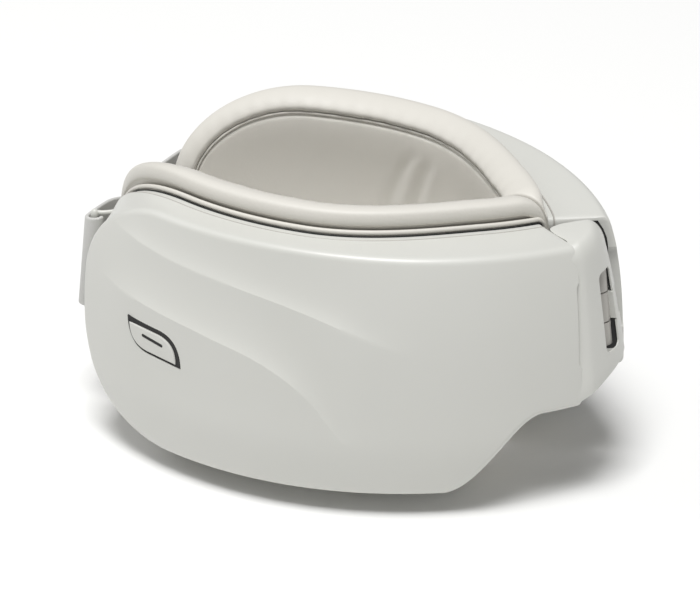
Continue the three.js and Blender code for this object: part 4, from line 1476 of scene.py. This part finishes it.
    def slot_tool(self) -> Mesh:
        """The slot as a cutter: an upright rectangle with round corners, drawn through the front wall.

        Returns:
            The closed cutter.
        """
        (left, right), (low, high) = self.slot_sides, self.slot_ends
        radius, turn = self.slot_corner, np.linspace(0, np.pi / 2, 8)
        corners = ((right - radius, high - radius), (left + radius, high - radius),
                   (left + radius, low + radius), (right - radius, low + radius))
        angles = [turn + number * np.pi / 2 for number in range(4)]
        loop = np.concatenate([np.column_stack([y + radius * np.cos(angle), z + radius * np.sin(angle)])
                               for (y, z), angle in zip(corners, angles)])
        rings = [np.column_stack([np.full(len(loop), x), loop]) for x in self.slot_reach]
        return capped_tube(tilted(np.stack(rings)))

    def rim_gap(self) -> Mesh:
        """The cutter for the far leaf's web: a box from the slot's side out through the rim.

        Returns:
            The closed cutter.
        """
        low, high = self.middle_knuckle
        side = self.slot_sides[1] - 0.01
        loop = np.array([(-7, side), (7, side), (7, 9), (-7, 9)])
        rings = [np.column_stack([loop, np.full(4, z)]) for z in (low + 0.02, high - 0.02)]
        return capped_tube(tilted(np.stack(rings)))

    def sleeve(self, top: float, bottom: float, chamfer: float = 0.12) -> Mesh:
        """A knuckle's sleeve: a rod round the axis with chamfered ends.

        Args:
            top: its upper end.
            bottom: its lower end.
            chamfer: the size of its chamfers.

        Returns:
            The closed rod.
        """
        turn = np.linspace(0, 2 * np.pi, 48, endpoint=False)
        slim = self.sleeve_radius - chamfer
        stops = ((slim, bottom), (self.sleeve_radius, bottom + chamfer), (self.sleeve_radius, top - chamfer),
                 (slim, top))
        rings = [np.column_stack([r * np.cos(turn), r * np.sin(turn), np.full(48, z)]) for r, z in stops]
        return capped_tube(tilted(np.stack(rings)))

    def build_painted_shade(self) -> None:
        """Build the black sheets of painted shade behind the slot, and the black strip of painted shadow on
        the far half's end face.
        """
        low, high = self.middle_knuckle
        # Two black sheets inside the panel, above and below the middle knuckle: painted shade seen through
        # the slot.
        for name, bottom, top in (("upper_slot_painted_shade", high + 0.2, -7.5),
                                  ("lower_slot_painted_shade", -28.5, low - 0.2)):
            share, z = np.linspace(0.74, 1, 20)[:, None], np.linspace(bottom, top, 12)[None, :]
            outside, inside = (tilted(self.skin(share, z, np.array(offset))) for offset in (0.4, 0.7))
            make_piece(name, layered_mesh(outside, [], inside), "dark", "near_half")
        # A black strip on the far end face, along the panel's far edge: painted shadow of the gap there.
        heights, radii = np.array(self.painted_shadow_edge).T
        z = np.linspace(heights[0], heights[-1], 46)
        reach = np.interp(z, heights, radii) - self.painted_shadow_foot
        radius = self.painted_shadow_foot + reach * np.linspace(0, 1, 8)[:, None]
        outside, inside = (wrapped(np.array(HINGE_ARC + out), z[None, :], radius) for out in (0.15, -0.2))
        make_piece("end_face_painted_shadow", layered_mesh(outside, [], inside), "dark", "far_half")

    def build_rim(self) -> None:
        """Build the flush piece of rim that turns with the far leaf."""
        low, high = self.middle_knuckle
        share = np.linspace(0.60, 0.99, 40)
        line = self.skin(share, (low + high) / 2, 0)
        x, y = line[:, 0], line[:, 1]
        within = (np.hypot(x, y) < self.rim_reach) & (y > self.slot_sides[1] + 0.05)
        share, z = share[within][:, None], np.linspace(low + 0.06, high - 0.06, 12)[None, :]
        outside, inside = (tilted(self.skin(share, z, offset)) for offset in (-0.03, self.wall))
        make_piece("rim_on_far_leaf", layered_mesh(outside, [], inside), "pearl", "far_half")

    def build(self) -> None:
        """Build the panel, the painted shade behind its slot and on the far end face, and the knuckles'
        sleeves.
        """
        low, high = self.middle_knuckle
        panel = make_piece("bridge_panel_skin", self.shell(np.linspace(-0.06, 1, 84)), "pearl", "near_half",
                           replaces=("bridge_panel",))
        cut_away(panel, [self.slot_tool(), self.rim_gap()], Side.FAR, sharp=32)
        self.build_painted_shade()
        self.build_rim()
        for name, body, bottom, top in (("upper_knuckle_sleeve", "near_half", high + 0.1, -9.5),
                                        ("middle_knuckle_sleeve", "far_half", low + 0.1, high - 0.1),
                                        ("lower_knuckle_sleeve", "near_half", -26.1, low - 0.1)):
            make_piece(name, self.sleeve(top, bottom), "hinge", body)


def brighten_web(leaf: bpy.types.Object) -> None:
    """Give the far leaf's web, which shows beside the middle knuckle, the housing's finish.

    Args:
        leaf: the far leaf's solid.
    """
    centres = np.empty(len(leaf.data.polygons) * 3)
    leaf.data.polygons.foreach_get("center", centres)
    matrix = np.array(leaf.matrix_world)
    centres = (centres.reshape(-1, 3) @ matrix[:3, :3].T + matrix[:3, 3]) * 1000 - HINGE_TO_ROW
    cos, sin = math.cos(HINGE_TILT), math.sin(HINGE_TILT)
    x, z = centres[:, 0] - HINGE_X, centres[:, 2]
    low, high = BridgePanel.middle_knuckle
    height = cos * z - sin * x
    beside = np.hypot(cos * x + sin * z, centres[:, 1]) < 4.0
    web = (height > low - 0.1) & (height < high + 0.1) & beside
    leaf.data.materials.append(MATERIALS["pearl"])
    leaf.data.polygons.foreach_set("material_index", web.astype(np.int32))


def dress_solids() -> None:
    """Give every solid that stays in view its finish and smooth shading."""
    slots = {entry["node"]: entry["material_slot"] for entry in frame["record"]["subparts"]}
    for name, solid in frame["nodes"].items():
        solid.data.materials.clear()
        # Both hinge leaves take the near-black painted shade; the far leaf's web gets the housing's finish
        # back.
        solid.data.materials.append(MATERIALS["hinge_leaf" if name.endswith("hinge_leaf") else slots[name]])
        if name == "far_hinge_leaf":
            brighten_web(solid)
        solid.data.polygons.foreach_set("use_smooth", np.ones(len(solid.data.polygons), bool))
        weld = solid.modifiers.new("merge_corners", "WELD")
        weld.merge_threshold = 1e-6
        split = solid.modifiers.new("sharp_edges", "EDGE_SPLIT")
        split.split_angle = math.radians(32)


# The studio

# The photograph's width and focal length in pixels, as solved from the mirror symmetry of the halves
PHOTO_WIDTH = 700
FOCAL_LENGTH = 3000


def make_camera() -> None:
    """Set the camera at the photograph's angle, distance and focal length."""
    azimuth, elevation, distance = math.radians(27.755), math.radians(26.304), 0.629975
    target = Vector((-0.048384, 0.0, -0.029502)) + Vector(HINGE_TO_ROW / 1000)
    back = Vector((math.sin(azimuth) * math.cos(elevation), -math.cos(azimuth) * math.cos(elevation),
                   math.sin(elevation)))
    data = bpy.data.cameras.new("studio_camera")
    data.sensor_width = 36.0
    data.lens = FOCAL_LENGTH / PHOTO_WIDTH * data.sensor_width
    data.clip_start, data.clip_end = 0.01, 20.0
    camera = bpy.data.objects.new("studio_camera", data)
    camera.location = target + back * distance
    camera.rotation_mode = "QUATERNION"
    camera.rotation_quaternion = (-back).to_track_quat("-Z", "Y")
    bpy.context.scene.collection.objects.link(camera)
    bpy.context.scene.camera = camera


def make_light(name: str, place: tuple[float, float, float], size: float, watts: float) -> None:
    """Add a square soft light that faces the mask.

    Args:
        name: the light's name.
        place: where it stands, in metres.
        size: the length of its side, in metres.
        watts: its power.
    """
    data = bpy.data.lights.new(name, "AREA")
    data.shape = "SQUARE"
    data.size = size
    data.energy = watts
    light = bpy.data.objects.new(name, data)
    light.location = place
    light.rotation_mode = "QUATERNION"
    light.rotation_quaternion = (Vector(place) - Vector((0, 0, 0.03))).to_track_quat("Z", "Y")
    bpy.context.scene.collection.objects.link(light)


def make_studio() -> None:
    """Build the pale floor, the even sky, the soft light above and a weak one on the left."""
    plane = bpy.data.meshes.new("floor")
    plane.from_pydata([(-3, -3, 0), (3, -3, 0), (3, 3, 0), (-3, 3, 0)], [], [(0, 1, 2, 3)])
    floor = bpy.data.objects.new("floor", plane)
    bpy.context.scene.collection.objects.link(floor)
    material = bpy.data.materials.new("matt_white_sweep")
    material.use_nodes = True
    shader = material.node_tree.nodes["Principled BSDF"]
    shader.inputs["Base Color"].default_value = linear("F3F3F2")
    shader.inputs["Roughness"].default_value = 0.9
    plane.materials.append(material)
    world = bpy.data.worlds.new("studio_sky")
    bpy.context.scene.world = world
    world.use_nodes = True
    sky = world.node_tree.nodes["Background"]
    sky.inputs["Color"].default_value = (1, 1, 1, 1)
    sky.inputs["Strength"].default_value = 0.24
    make_light("softbox_above", (0.1, -0.58, 2.3), 0.9, 53)
    make_light("softbox_left", (-1.3, -0.4, 1.2), 0.8, 3.6)
    scene = bpy.context.scene
    scene.view_settings.view_transform = "Standard"


def main() -> None:
    """Build the studio and every piece in order."""
    logging.basicConfig(level=logging.INFO, format="%(name)s: %(message)s")
    make_camera()
    make_studio()
    dress_solids()
    for side in Side:
        FrontCover(side).build()
        RearFrame(side).build()
        Cushion(side).build()
        StrapLoop(side).build()
    PowerButton().build()
    BridgePanel().build()


if __name__ == "__main__":
    main()
